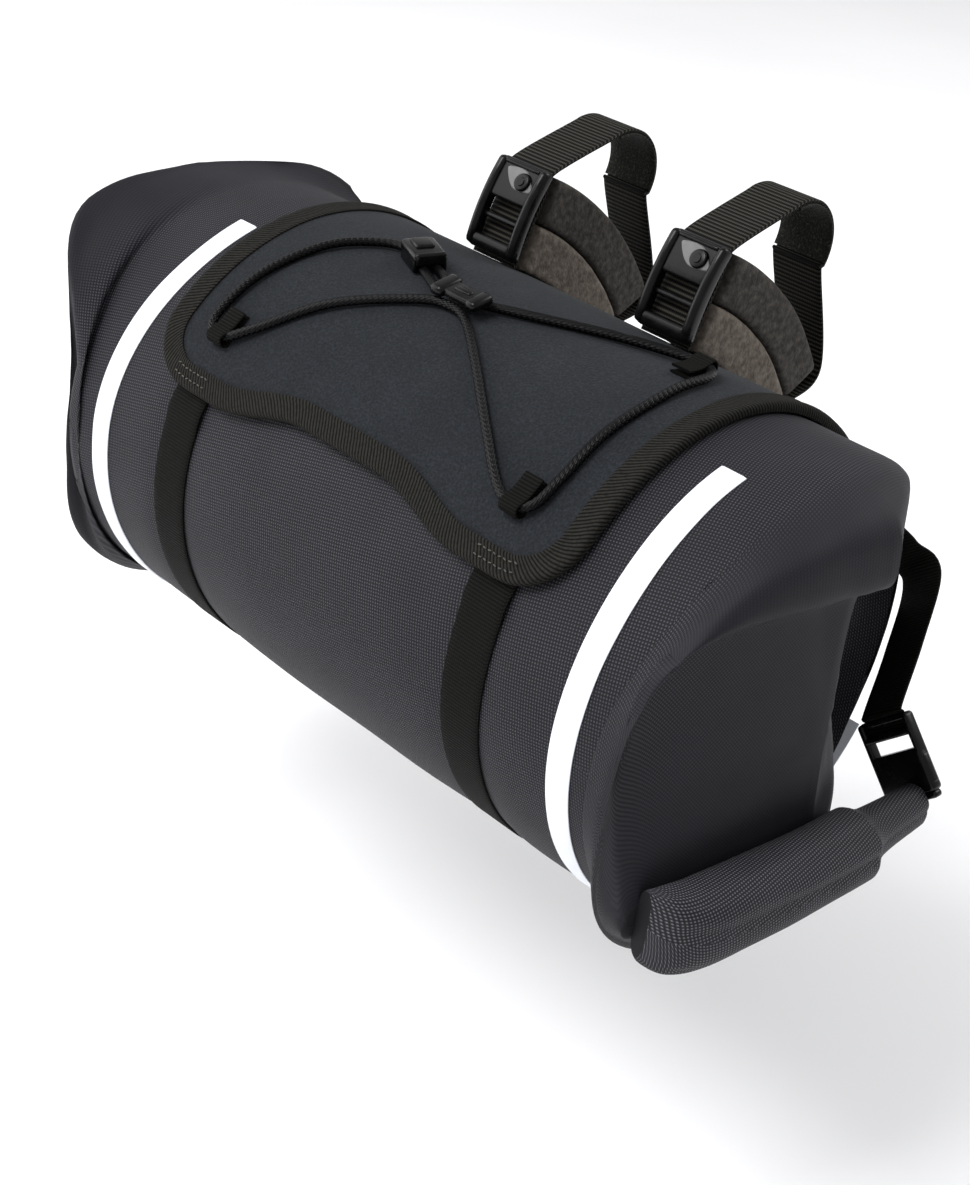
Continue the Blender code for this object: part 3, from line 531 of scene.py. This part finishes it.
# The dry bag: a barrel of cloth whose two mouths are pressed flat and rolled
skinSet = {
    "around": 144,
    "steps": 56,             # rings along the barrel
    "between": 5,            # rings from one row of an end to the next
    "bulge": 1.2 * mm,       # the filled cloth stands out between the straps
    "pressed": 1.0 * mm,     # and is held in under them
    "wrinkle": 0.6 * mm,
    "fold": 1.2 * mm,        # soft folds near the ends
    "strapAt": 88 * mm,
    # columns: x and xLow as shares of the half length, then shares of the radius: top, low, front, rear;
    # square, swept and lean shape the section. Each row is one ring on the way to the mouth
    "right": (
        (.860, .830, .995, -1.0, 1.00, 1.00, 1.00, .24, 0), (.945, .870, .96, -.985, 1.01, .96, .92, .44, 0),
        (.992, .900, .88, -.97, 1.02, .90, .70, .60, 0), (1.006, .912, .76, -.95, 1.02, .84, .48, .72, 0),
        (1.002, .920, .67, -.93, 1.02, .80, .34, .78, 0), (.972, .926, .615, -.91, 1.02, .77, .28, .81, 0),
        (.942, .932, .575, -.89, 1.02, .75, .26, .82, 0), (.936, .938, .44, -.865, 1.02, .72, .30, .80, 0),
        (.940, .944, .18, -.82, 1.02, .68, .36, .76, 0), (.945, .949, -.08, -.75, 1.02, .60, .42, .70, 0),
        (.950, .953, -.24, -.68, 1.02, .48, .46, .60, 0), (.953, .955, -.34, -.62, 1.01, .34, .48, .45, 0),
        (.955, .956, -.38, -.57, 1.00, .20, .48, .25, 0), (.956, .956, -.41, -.54, .99, .10, .45, 0, 0),
    ),
    "left": (
        (.870, .850, .99, -1.0, 1, 1, 1, .05, 0), (.950, .875, .985, -.995, 1, .96, .86, .12, .03),
        (1.030, .895, .98, -.99, .97, .90, .62, .20, .04), (1.060, .910, .975, -.985, .93, .82, .40, .26, .04),
        (1.050, .925, .90, -.98, .92, .78, .32, .30, .04), (1.005, .940, .74, -.97, .94, .76, .38, .32, .03),
        (.960, .955, .51, -.95, .95, .74, .50, .32, .02), (.935, .965, .26, -.92, .93, .74, .58, .28, 0),
        (.930, .970, .02, -.86, .86, .73, .64, .22, 0), (.935, .968, -.16, -.78, .72, .71, .64, .18, 0),
        (.948, .962, -.29, -.68, .57, .72, .60, .12, 0), (.955, .960, -.38, -.58, .44, .76, .52, .08, 0),
        (.960, .960, -.41, -.54, .36, .82, .45, 0, 0),
    ),
    "bend": {"right": 3, "left": 4},
    "nose": {"right": 0.15, "left": 0.14},  # how far the front is drawn in, as a share of the depth
    "flatMouth": 0.15,
}


def squared(value, power):
    return math.copysign(abs(value) ** power, value)


def underPanel(x, angle):
    return ease(12, 26, angle) * (1 - ease(167, 180, angle)) * (1 - ease(114 * mm, 126 * mm, abs(x)))


def clothShift(x, angle):
    # how far the cloth stands out from the true barrel, at a place and an angle round the axis
    free = 1 - underPanel(x, angle)
    fromStrap = abs(x) - skinSet["strapAt"]
    press = math.exp(-(fromStrap / (13 * mm)) ** 4) * (1 - ease(36, 44, angle))
    filled = (1 - math.exp(-(fromStrap / (30 * mm)) ** 2)) * (1 - ease(96 * mm, 132 * mm, abs(x)))
    spot = Vector((x / (50 * mm), math.cos(math.radians(angle)) * 1.5, math.sin(math.radians(angle)) * 1.5))
    wrinkle = noise.noise(spot + Vector((3.1, 7.7, 1.3)))
    ends = ease(120 * mm, 176 * mm, abs(x))
    run = Vector((x / (80 * mm), angle / 19 + x / (70 * mm), 0.4))
    fold = noise.noise(run) + 0.35 * noise.noise(run * 2.1)
    loose = skinSet["bulge"] * filled + skinSet["wrinkle"] * wrinkle + skinSet["fold"] * ends * fold
    return free * loose - skinSet["pressed"] * press


def endRing(side, row, count):
    x, xLow, top, low, front, rear, square, swept, lean = row
    sign, bend = sides[side], skinSet["bend"][side]
    middle, half = (top + low) / 2, (top - low) / 2
    ring = []
    for i in range(count):
        turn = math.tau * i / count
        boxy = square if math.sin(turn) > 0 or half < skinSet["flatMouth"] else (square + 1) / 2
        reach = (abs(math.cos(turn)) ** (2 / boxy) + abs(math.sin(turn)) ** (2 / boxy)) ** (-boxy / 2)
        rise, ahead = reach * math.sin(turn), reach * math.cos(turn)
        depth = front if ahead > 0 else rear
        outward = ((rise + 1) / 2) ** bend
        along = xLow + (x - xLow) * outward
        nose = skinSet["nose"][side] * ease(0.86, 0.94, x) * (0.3 + 0.7 * ease(0.1, 0.6, half))
        drawnIn = (swept * max(-ahead, 0) * rear + nose * max(ahead, 0) * front) * bag["radius"]
        forward = ahead * depth + lean * max(rise, 0) ** 3
        ring.append(Vector((sign * (along * bag["half"] - drawnIn), bag["axisY"] - forward * bag["radius"],
                            bag["axisZ"] + (middle + half * rise) * bag["radius"])))
    return ring


def rowsBetween(rows, steps):
    # more rings between the named ones, on smooth curves through each column
    before = [2 * a - b for a, b in zip(rows[0], rows[1])]
    after = [2 * a - b for a, b in zip(rows[-1], rows[-2])]
    ends = [before] + [list(row) for row in rows] + [after]
    fine = []
    for four in zip(ends, ends[1:], ends[2:], ends[3:]):
        fine += [[between(*column, i / steps) for column in zip(*four)] for i in range(steps)]
    return fine + [list(rows[-1])]


def makeSkin():
    count, steps = skinSet["around"], skinSet["steps"]
    barrelRow = lambda x: (x, x, 1, -1, 1, 1, 1, 0, 0)
    first = barrelRow(bag["barrel"] / bag["half"])
    left, right = (rowsBetween((first,) + skinSet[side], skinSet["between"]) for side in sides)
    rings = [endRing("left", row, count) for row in reversed(left)]
    for i in range(1, steps):
        x = bag["barrel"] * (2 * i / steps - 1)
        rings.append([Vector((x, p.y, p.z)) for p in endRing("right", barrelRow(0.5), count)])
    rings += [endRing("right", row, count) for row in right]
    shape = sweep(rings)
    shape.normal_update()
    moved = {}
    for v in shape.verts:
        x = v.co.x
        angle = math.degrees(math.atan2(v.co.z - bag["axisZ"], bag["axisY"] - v.co.y))
        angle = angle + 360 if angle < -175 else angle
        last = skinSet["right" if x > 0 else "left"][-1]
        mouth = Vector((math.copysign(last[0] * bag["half"], x), v.co.y,
                        bag["axisZ"] + (last[2] + last[3]) / 2 * bag["radius"]))
        near = ease(6 * mm, 34 * mm, (v.co - mouth).length)  # no folds at the roll itself
        moved[v] = v.co + v.normal * clothShift(x, angle) * near
    for v, place in moved.items():
        v.co = place
    skin = pieceOf("drybagSkin", shape, finish["cloth"], ("bag_body",), smooth=180)


# The rolled mouths
rollSet = {
    "radius": 14 * mm,
    "around": 48,
    "back": {"right": 0.0, "left": 0.52},
    "turnIn": {"right": 1.0, "left": 0.0},  # the front is bent inward with the bag's mouth
    # columns: y and z as shares of the bag's radius; the inner side's place, the width and the height as shares
    # of the roll's radius; squareness
    "rows": (
        (-.950, -.32, -.488, .22, .98, .70), (-.945, -.31, -.489, .46, 1.10, .60), (-.90, -.28, -.490, .70, 1.16, .62),
        (-.76, -.20, -.489, .86, 1.15, .72), (-.45, -.10, -.482, .94, 1.08, .80), (-.15, -.02, -.478, .96, 1.04, .85),
        (.06, -.01, -.478, .95, 1.02, .85), (.10, .01, -.478, .92, .98, .88), (.16, .18, -.480, .72, .80, .90),
        (.26, .26, -.478, .60, .72, .90), (.52, .30, -.475, .50, .66, .90),
    ),
    "between": 7,
    # the layers of the roll show as lengthwise creases on its outer face: angle, width in degrees, share of the depth
    "creases": ((8, 7, 1.0), (62, 8, 0.6), (318, 8, 0.6)),
    "crease": 1.7 * mm,
    "gap": 0.3 * mm,
}


def rollPlace(side, y, inner, z, wide):
    mouth = skinSet[side][-1][0] * bag["half"]
    turnedIn = inner * (rollSet["turnIn"][side] if inner < 0 else 1)
    return Vector((sides[side] * (mouth + (turnedIn + wide) * rollSet["radius"] + rollSet["gap"]),
                   bag["axisY"] + (y + rollSet["back"][side]) * bag["radius"], bag["axisZ"] + z * bag["radius"]))


def makeRoll(side):
    rings = []
    for y, inner, z, wide, tall, square in rowsBetween(rollSet["rows"], rollSet["between"]):
        centre = rollPlace(side, y, inner, z, wide)
        ring = []
        for i in range(rollSet["around"]):
            turn = math.tau * i / rollSet["around"]
            out, up = squared(math.cos(turn), square), squared(math.sin(turn), square)
            degrees = math.degrees(turn)
            groove = sum(share * math.exp(-((degrees - at) / spread) ** 2) for at, spread, share in rollSet["creases"])
            inward = 1 - groove * rollSet["crease"] / rollSet["radius"] * min(wide, 1)
            soft = 1 + 0.035 * noise.noise(Vector((y * 4, out * 1.5, up * 1.5)))
            ring.append(centre + Vector((sides[side] * out * wide, 0, up * tall)) * rollSet["radius"] * inward * soft)
        rings.append(ring)
    roll = pieceOf("rolledMouth_" + side, sweep(rings, shared=True), finish["rolledCloth"],
                   ("closure_roll_" + side,))


makeSkin()
for side in sides:
    makeRoll(side)
print("bag and rolled mouths made")

# The slate panel over the bag, with its taped edge: front, rear and scoop are angles round the bag
panelSet = {
    "half": 116 * mm, "corner": 26 * mm, "front": 27.0, "rear": 166.0, "scoop": 6.0, "strapAt": 88 * mm,
    "stepX": 4 * mm, "rows": 56,
    # rim cells along a straight edge, round a corner and down a side
    "tape": 9 * mm, "rim": (44, 10, 40),
}


def panelEdges(x):
    # the angles of the panel's front and rear edges, with rounded corners and a scooped middle
    inside = max(abs(x) - (panelSet["half"] - panelSet["corner"]), 0.0)
    drop = panelSet["corner"] - math.sqrt(max(panelSet["corner"] ** 2 - inside ** 2, 0.0))
    turned = math.degrees(drop / layers["panelTop"])
    middle = 1 - ease(0.25 * panelSet["strapAt"], 0.8 * panelSet["strapAt"], abs(x))
    return panelSet["front"] + panelSet["scoop"] * middle + turned, panelSet["rear"] - turned


def panelShift(x, angle):
    # soft unevenness of the sheet
    return 0.35 * mm * noise.noise(Vector((x / (60 * mm), angle / 32, 2.2)))


def makePanel():
    columns, rows = [], panelSet["rows"]
    count = round(panelSet["half"] * 2 / panelSet["stepX"])
    places = [panelSet["half"] * math.sin(math.pi / 2 * (2 * i / count - 1)) for i in range(count + 1)]
    for x in places:
        front, rear = panelEdges(x * 0.9998)
        angles = [front + (rear - front) * j / rows for j in range(rows + 1)]
        top = [onBag(x, angle, layers["panelTop"] + panelShift(x, angle)) for angle in angles]
        under = [onBag(x, angle, layers["panelLow"]) for angle in angles]
        columns.append(top + under[::-1])
    panel = pieceOf("feltedTopPanel", sweep(columns), finish["felt"], ("top_panel",))


def rimPath():
    # once round the panel's edge: (x, angle) pairs
    half, corner, rear = panelSet["half"], panelSet["corner"], panelSet["rear"]
    straight, bend, down = panelSet["rim"]
    flat = half - corner
    span = [flat * (2 * i / straight - 1) for i in range(straight + 1)]
    turnOf = lambda length: math.degrees(length / layers["panelTop"])
    low, high = panelSet["front"] + turnOf(corner), rear - turnOf(corner)
    rise = [(high - low) * i / down for i in range(down + 1)]
    turns = [math.pi / 2 * i / bend for i in range(1, bend)]
    far = [flat + corner * math.sin(t) for t in turns]
    near = [flat + corner * math.cos(t) for t in turns]
    short = [turnOf(corner * (1 - math.cos(t))) for t in turns]
    tall = [turnOf(corner * math.sin(t)) for t in turns]
    pairs = [(x, panelEdges(x)[0]) for x in span]
    pairs += [(x, panelSet["front"] + angle) for x, angle in zip(far, short)]
    pairs += [(half, low + angle) for angle in rise]
    pairs += [(x, high + angle) for x, angle in zip(near, tall)]
    pairs += [(x, rear) for x in reversed(span)]
    pairs += [(-x, rear - angle) for x, angle in zip(far, short)]
    pairs += [(-half, high - angle) for angle in rise]
    return pairs + [(-x, low - angle) for x, angle in zip(near, tall)]


def makeTape():
    # the tape is folded over the edge: a rounded channel seen from above, thickest at the fold
    pairs = rimPath()
    top, low = layers["panelTop"], layers["panelLow"] - layers["panelTop"]
    rings = []
    for i, (x, angle) in enumerate(pairs):
        before, after = pairs[i - 1], pairs[(i + 1) % len(pairs)]
        alongX, alongTurn = after[0] - before[0], math.radians(after[1] - before[1]) * top
        size = math.hypot(alongX, alongTurn)
        inX, inTurn = -alongTurn / size, alongX / size
        width = panelSet["tape"] + 0.25 * mm * noise.noise(Vector((i / 4.0, 0.3, 1.1)))
        under = low / mm + 0.1
        # distance in from the panel's edge, and millimetres above the panel
        section = (
            (width, 0.1), (width, 0.75), (width - 1.2 * mm, 1.1), (width * 0.72, 0.95), (width * 0.5, 1.05),
            (width * 0.26, 1.3), (0.6 * mm, 1.45), (-0.7 * mm, 1.1), (-1.25 * mm, 0.2), (-1.3 * mm, -1.2),
            (-0.8 * mm, under), (1.5 * mm, under), (2.5 * mm, -1.0),
        )
        rings.append([onBag(x + inX * inward, angle + math.degrees(inTurn * inward / top), top + rise * mm)
                      for inward, rise in section])
    rings.append([p.copy() for p in rings[0]])
    shape = sweep(rings, caps=False, shared=True)
    bmesh.ops.remove_doubles(shape, verts=shape.verts, dist=1e-6)
    bmesh.ops.recalc_face_normals(shape, faces=shape.faces)
    pieceOf("edgeTape", shape, finish["tape"], ("panel_binding",), smooth=60)


makePanel()
makeTape()
print("panel and taped edge made")

# Webbing: two straps round the bag, with their sewn ends, and the white stripes
strapSet = {
    "at": 88 * mm, "wide": 20 * mm, "thick": 1.5 * mm, "lift": 0.12 * mm,
    "from": 33.0, "end": -204.0, "step": 1.6,  # angles round the bag
    "over": (22, 4, 0.9 * mm),  # it stands up a little where it bends over the panel's edge
    "dash": (0.5 * mm, 0.42 * mm, 0.16 * mm),  # a stitch: width, height, edge
}


def clothRadius(x, angle):
    turned = angle + 360 if angle < -175 else angle
    return bag["radius"] + clothShift(x, turned)


def makeFrontStrap(side):
    x = sides[side] * strapSet["at"]
    path = []
    angle = strapSet["from"]
    at, spread, height = strapSet["over"]
    while angle > strapSet["end"]:
        stands = height * math.exp(-((angle - at) / spread) ** 2)
        path.append(onBag(x, angle, clothRadius(x, angle) + strapSet["lift"] + stands))
        angle -= strapSet["step"]
    bandPiece("frontStrap_" + side, path, [Vector((1, 0, 0))] * len(path), strapSet["wide"], strapSet["thick"],
              finish["webbing"], ("front_strap_" + side,))


def strapStitches(side):
    # two rows of pale thread hold the strap's end through the tape
    reach = layers["tapeTop"] + 0.25 * mm
    wide, apart, stitch = strapSet["wide"], 3.6 * mm, 2.4 * mm
    deep, tall, edge = strapSet["dash"]
    count = round(wide / stitch)
    right = Vector((1, 0, 0))
    shapes = []
    for j in range(2):
        for i in range(count):
            x = sides[side] * strapSet["at"] - wide / 2 + wide * (i + 0.5) / count
            angle = panelEdges(x)[0] + 2.7 + math.degrees((j - 0.5) * apart / reach)
            out = (onBag(x, angle, 1.0) - onBag(x, angle, 0.0)).normalized()
            place = turnedTo(onBag(x, angle, reach), right, out.cross(right), out)
            tilt = 0.225 if (i + j) % 2 else -0.225
            shapes.append((roundedBlock((stitch * 0.62, deep, tall), edge, 1), place @ Matrix.Rotation(tilt, 4, "Z")))
    joined("strapStitches_" + side, shapes, finish["thread"], smooth=60)


stripeSet = {
    "at": 138 * mm, "wide": 11 * mm, "thick": 0.5 * mm, "from": 72.0, "to": -150.0, "steps": 150, "across": 8,
    "under": 0.05 * mm, "edge": 0.38 * mm, "face": 0.18 * mm,  # how high each lies over the cloth
    "lean": {"left": 8 * mm, "right": 0.0},  # how far its upper end leans inward
}


def makeStripe(side):
    steps, across = stripeSet["steps"], stripeSet["across"]
    rings = []
    for i in range(steps + 1):
        angle = stripeSet["from"] + (stripeSet["to"] - stripeSet["from"]) * i / steps
        x = sides[side] * (stripeSet["at"] - stripeSet["lean"][side] * ease(5, 72, angle))
        places = [x + stripeSet["wide"] * (j / across - 0.5) for j in range(across + 1)]
        face = stripeSet["face"] + stripeSet["thick"]
        rises = [stripeSet["edge"]] + [face] * (across - 1) + [stripeSet["edge"]]
        ring = [onBag(at, angle, clothRadius(at, angle) + rise) for at, rise in zip(places, rises)]
        ring += [onBag(at, angle, clothRadius(at, angle) + stripeSet["under"]) for at in reversed(places)]
        rings.append(ring)
    pieceOf("reflectiveStripe_" + side, sweep(rings), finish["film"], ("reflective_stripe_" + side,))


for side in sides:
    makeFrontStrap(side)
    strapStitches(side)
    makeStripe(side)
print("front straps and stripes made")

# Foam spacers and the strap loops round the handlebar: from and to are angles, the layers distances from the axis
foamSet = {
    "at": 48 * mm, "wide": 28 * mm, "from": 113.0, "to": 150.0, "steps": 26, "around": 40, "edge": 2.2 * mm,
    "layers": (("lower", 99.1 * mm, 119.2 * mm, "foamLow"), ("upper", 119.5 * mm, 139.4 * mm, "foamTop")),
    "square": 0.22, "waist": 0.6 * mm, "dent": 0.35 * mm,
}


def makeFoam(side):
    x = sides[side] * foamSet["at"]
    steps, edge, around = foamSet["steps"], foamSet["edge"], foamSet["around"]
    for word, low, top, material in foamSet["layers"]:
        rings = []
        for i in range(steps + 1):
            share = i / steps
            angle = foamSet["from"] + (foamSet["to"] - foamSet["from"]) * (0.5 - 0.5 * math.cos(math.pi * share))
            short = (1 - math.sqrt(max(1 - (2 * share - 1) ** 10, 0.0))) * edge  # the cut ends are rounded
            half = foamSet["wide"] / 2 - short
            middle, tall = (low + top) / 2, (top - low) / 2 - short * 0.7
            ring = []
            for j in range(around):
                turn = math.tau * (j + 0.5) / around
                u, v = squared(math.cos(turn), foamSet["square"]), squared(math.sin(turn), foamSet["square"])
                spot = Vector((x + u * half, angle * 2 * mm, v * 10 * mm)) / (7 * mm)
                dent = foamSet["dent"] * noise.noise(spot) + 0.2 * mm * noise.noise(spot * 2.7)
                waist = foamSet["waist"] * (1 - v * v) * abs(u)  # pressed in across the middle of its flanks
                ring.append(onBag(x + u * (half - waist + dent), angle, middle + v * (tall + min(dent, 0) * 0.4)))
            rings.append(ring)
        foam = pieceOf(f"foamSpacer_{word}_{side}", sweep(rings), finish[material], (f"foam_{word}_{side}",),
                       smooth=60)


barSet = {
    "wide": 25 * mm, "thick": 1.5 * mm, "loop": 19.4 * mm, "nap": 1.0 * mm, "napShows": 0.7 * mm,
    # angle round the bag and distance from its axis, up the front, and down again behind the foam
    "front": ((110.8, 99.4 * mm), (111.5, 140.4 * mm)),
    "rear": ((151.4, 141.4 * mm), (151.6, 119.1 * mm), (152.4, 105.1 * mm), (158, 99.1 * mm)),
    "turn": (115, -150, 24),  # round the handlebar: first angle, sweep, points
    "napTurn": (108, -132, 30),
}


def barCircle(side, radius, first, span, count):
    x = sides[side] * foamSet["at"]
    turns = [math.radians(first + span * i / count) for i in range(count + 1)]
    return [Vector((x, radius * math.cos(turn), radius * math.sin(turn))) for turn in turns]


def makeBarStrap(side):
    x = sides[side] * foamSet["at"]
    low, high = (onBag(x, angle, reach) for angle, reach in barSet["front"])
    points = [low.lerp(high, i / 5) for i in range(6)] + barCircle(side, barSet["loop"], *barSet["turn"])
    path = curveThrough(points + [onBag(x, angle, reach) for angle, reach in barSet["rear"]], 1.6 * mm)
    left = Vector((-1, 0, 0))
    bandPiece("barStrap_" + side, path, [left] * len(path), barSet["wide"], barSet["thick"], finish["loopWebbing"],
              ("bar_strap_" + side,))
    # a brushed layer lines the loop and shows a little beyond its edges
    lining = barCircle(side, barSet["loop"] - barSet["nap"] - 0.15 * mm, *barSet["napTurn"])
    bandPiece("loopLining_" + side, lining, [left] * len(lining), barSet["wide"] + 2 * barSet["napShows"],
              barSet["nap"], finish["nap"])


for side in sides:
    makeFoam(side)
    makeBarStrap(side)
print("foam spacers and handlebar straps made")

# Moulded buckles on the handlebar straps, each with its snap pin
camSet = {
    "long": 40 * mm, "foot": 1.5 * mm, "seat": 4.6 * mm, "arch": 2.2 * mm,
    # plate, bar, cross bar, lip and two rails
    "body": (
        (26, 17.5, 4.2, 1.5, 0, 10.8, 0), (28, 6.4, 5.6, 2.4, 0, -16.6, 0), (24, 2.6, 3.2, 1.1, 0, -5.4, -.7),
        (20, 1.8, 2.4, .8, 0, 17.8, 2), (4.2, 38.5, 6.6, 1.9, -11.8, 0, .5), (4.2, 38.5, 6.6, 1.9, 11.8, 0, .5),
    ),
    "leaf": (9.5 * mm, 4.6 * mm, 0.5 * mm), "leafAt": (1.5 * mm, 12.2 * mm, 2.25 * mm), "leafTurn": -0.35,
    # lower radius, upper radius, height
    "pin": (3.9 * mm, 3.6 * mm, 1.5 * mm), "pinEdge": 0.5 * mm, "pinAt": (4.2 * mm, 11.6 * mm, 3.3 * mm),
    "dimple": (2.0 * mm, 1.7 * mm, 0.8 * mm), "dimpleRise": 0.9 * mm,
}


def strapFront(side):
    x = sides[side] * foamSet["at"]
    low, high = (onBag(x, angle, reach) for angle, reach in barSet["front"])
    up = (high - low).normalized()
    out = Vector((1, 0, 0)).cross(up)
    middle = low + up * (camSet["long"] / 2 + camSet["foot"]) + out * camSet["seat"]
    return turnedTo(middle, Vector((1, 0, 0)), up, out)


def arched(shape):
    # the moulding is bowed along its length, its ends bent towards the strap
    for v in shape.verts:
        v.co.z += camSet["arch"] * (0.55 - (v.co.y / (camSet["long"] / 2)) ** 2)
    return shape


def finely(shape):
    longEdges = [e for e in shape.edges if e.calc_length() > 5 * mm]
    bmesh.ops.subdivide_edges(shape, edges=longEdges, cuts=6, use_grid_fill=True)
    return shape


def disc(low, top, depth, segments=40):
    shape = bmesh.new()
    bmesh.ops.create_cone(shape, cap_ends=True, segments=segments, radius1=low, radius2=top, depth=depth)
    return shape


def makeCamBuckle(side):
    frameAt = strapFront(side)
    shapes = [(arched(finely(shape)), frameAt) for shape in blocks(camSet["body"])]
    joined("camBuckle_" + side, shapes, finish["plastic"], ("cam_buckle_" + side,), smooth=45)

    # the leaf-shaped recess beside the pin is glossy and catches the light: its grey colour is a painted reflection
    leafLong, leafWide, leafDeep = camSet["leaf"]
    leaf = disc(1, 0.9, leafDeep)
    for v in leaf.verts:
        pointed = 1 - 0.55 * abs(v.co.x) ** 1.5
        v.co = Vector((v.co.x * leafLong, v.co.y * leafWide * pointed, v.co.z))
    leaf.transform(Matrix.Translation(camSet["leafAt"]) @ Matrix.Rotation(camSet["leafTurn"], 4, "Z"))
    joined("paintedGlintRecess_" + side, [(arched(leaf), frameAt)], finish["recess"])

    pin = disc(*camSet["pin"])
    rim = [e for e in pin.edges if abs(e.verts[0].co.z - e.verts[1].co.z) < 1e-7 and e.verts[0].co.z > 0]
    bmesh.ops.bevel(pin, geom=rim, offset=camSet["pinEdge"], segments=3, profile=0.5, affect="EDGES", material=-1)
    dimple = disc(*camSet["dimple"], segments=32)
    seat = Matrix.Translation(camSet["pinAt"])
    pin.transform(seat)
    dimple.transform(seat @ Matrix.Translation((0, 0, camSet["dimpleRise"])))
    joined("snapPin_" + side, [(arched(pin), frameAt), (arched(dimple), frameAt)], finish["plastic"],
           ("buckle_pin_" + side,), smooth=45)


# The buckle on each rolled mouth and the strap from it to the panel's rear
endSet = {
    "wide": 20 * mm, "thick": 1.5 * mm, "buckle": 34 * mm, "deep": 6 * mm, "clear": 100.9 * mm,
    "at": 0.86, "rise": -0.13,  # what the buckle points to, as shares of the bag's half length and radius
    # body, two rails, two bars, two prongs, ridge and foot
    "body": (
        (25, 17.68, 6, 1.7, 0, -5.44, 0), (2.6, 17, 5.4, 1.2, -11.2, 8.5, 0), (2.6, 17, 5.4, 1.2, 11.2, 8.5, 0),
        (24, 2.6, 3.72, 1, 0, 15.98, .8), (24, 2.6, 3.72, 1, 0, 10.2, -.9), (3, 12.24, 4.2, 1.2, -11.3, -5.44, 0),
        (3, 12.24, 4.2, 1.2, 11.3, -5.44, 0), (12.5, 2.2, 1.2, .5, 0, -3.4, 3), (23, 3, 4.8, 1.2, 0, -15.47, 0),
    ),
}


def endFrame(side):
    low = rollPlace(side, *rollSet["rows"][-1][:4])
    low.x -= sides[side] * rollSet["gap"]
    low.y += endSet["deep"] / 2 + 0.6 * mm
    high = Vector((sides[side] * endSet["at"] * bag["half"], low.y, bag["axisZ"] + endSet["rise"] * bag["radius"]))
    up = (high - low).normalized()
    return low, up, Vector((0, 1, 0)).cross(up)


def makeEndStrap(side):
    low, up, across = endFrame(side)
    frameAt = turnedTo(low + up * endSet["buckle"] / 2, across, up, Vector((0, 1, 0)))
    shapes = [(shape, frameAt) for shape in blocks(endSet["body"])]
    joined("sideBuckle_" + side, shapes, finish["plastic"], ("side_buckle_" + side,), smooth=45)
    # out of the buckle, up beside the barrel and on to the panel's rear
    first = low + up * (endSet["buckle"] + 0.3 * mm)
    bend = onBag(sides[side] * 143 * mm, 172, endSet["clear"] + 2 * mm)
    sewn = onBag(sides[side] * 121 * mm, 164, endSet["clear"])
    points = [first - up * 8 * mm, first, first + up * 3 * mm, first.lerp(bend, 0.5), bend,
              bend.lerp(sewn, 0.5) + Vector((0, 1 * mm, 0)), sewn]
    path = curveThrough(points, 1.6 * mm)
    bandPiece("endStrap_" + side, path, [across] * len(path), endSet["wide"], endSet["thick"], finish["webbing"],
              ("end_strap_" + side,))


for side in sides:
    makeCamBuckle(side)
    makeEndStrap(side)
print("buckles and end straps made")

# Floor, light and world
roomSet = {
    "floor": -330 * mm, "size": 30, "pale": "#f4f4f5", "world": 0.62,
    # name, place in metres, size, power in watts
    "lamps": (
        ("softKey", (-0.5, -1.5, 2.0), 1.2, 50), ("softFill", (-1.9, -1.1, 0.7), 2.0, 26),
        ("softRear", (0.7, 1.7, 1.6), 1.4, 26),
    ),
}


def makeRoom():
    shape = bmesh.new()
    bmesh.ops.create_grid(shape, x_segments=1, y_segments=1, size=roomSet["size"])
    shape.transform(Matrix.Translation((0, 0, roomSet["floor"])))
    mesh = bpy.data.meshes.new("paleFloor")
    shape.to_mesh(mesh)
    shape.free()
    mesh.materials.append(finish["floor"])
    floor = bpy.data.objects.new("paleFloor", mesh)
    bpy.context.scene.collection.objects.link(floor)
    for name, place, size, power in roomSet["lamps"]:
        lamp = bpy.data.lights.new(name, "AREA")
        lamp.size = size
        lamp.energy = power
        light = bpy.data.objects.new(name, lamp)
        bpy.context.scene.collection.objects.link(light)
        aim = Vector((0, bag["axisY"], bag["axisZ"])) - Vector(place)
        light.matrix_world = Matrix.Translation(place) @ aim.to_track_quat("-Z", "Y").to_matrix().to_4x4()
    world = bpy.data.worlds.new("paleStudio")
    bpy.context.scene.world = world
    world.use_nodes = True
    back = world.node_tree.nodes["Background"]
    back.inputs["Color"].default_value = toLinear(roomSet["pale"])
    back.inputs["Strength"].default_value = roomSet["world"]


makeRoom()
bpy.context.scene.view_settings.view_transform = "Standard"
print("room and lights made")
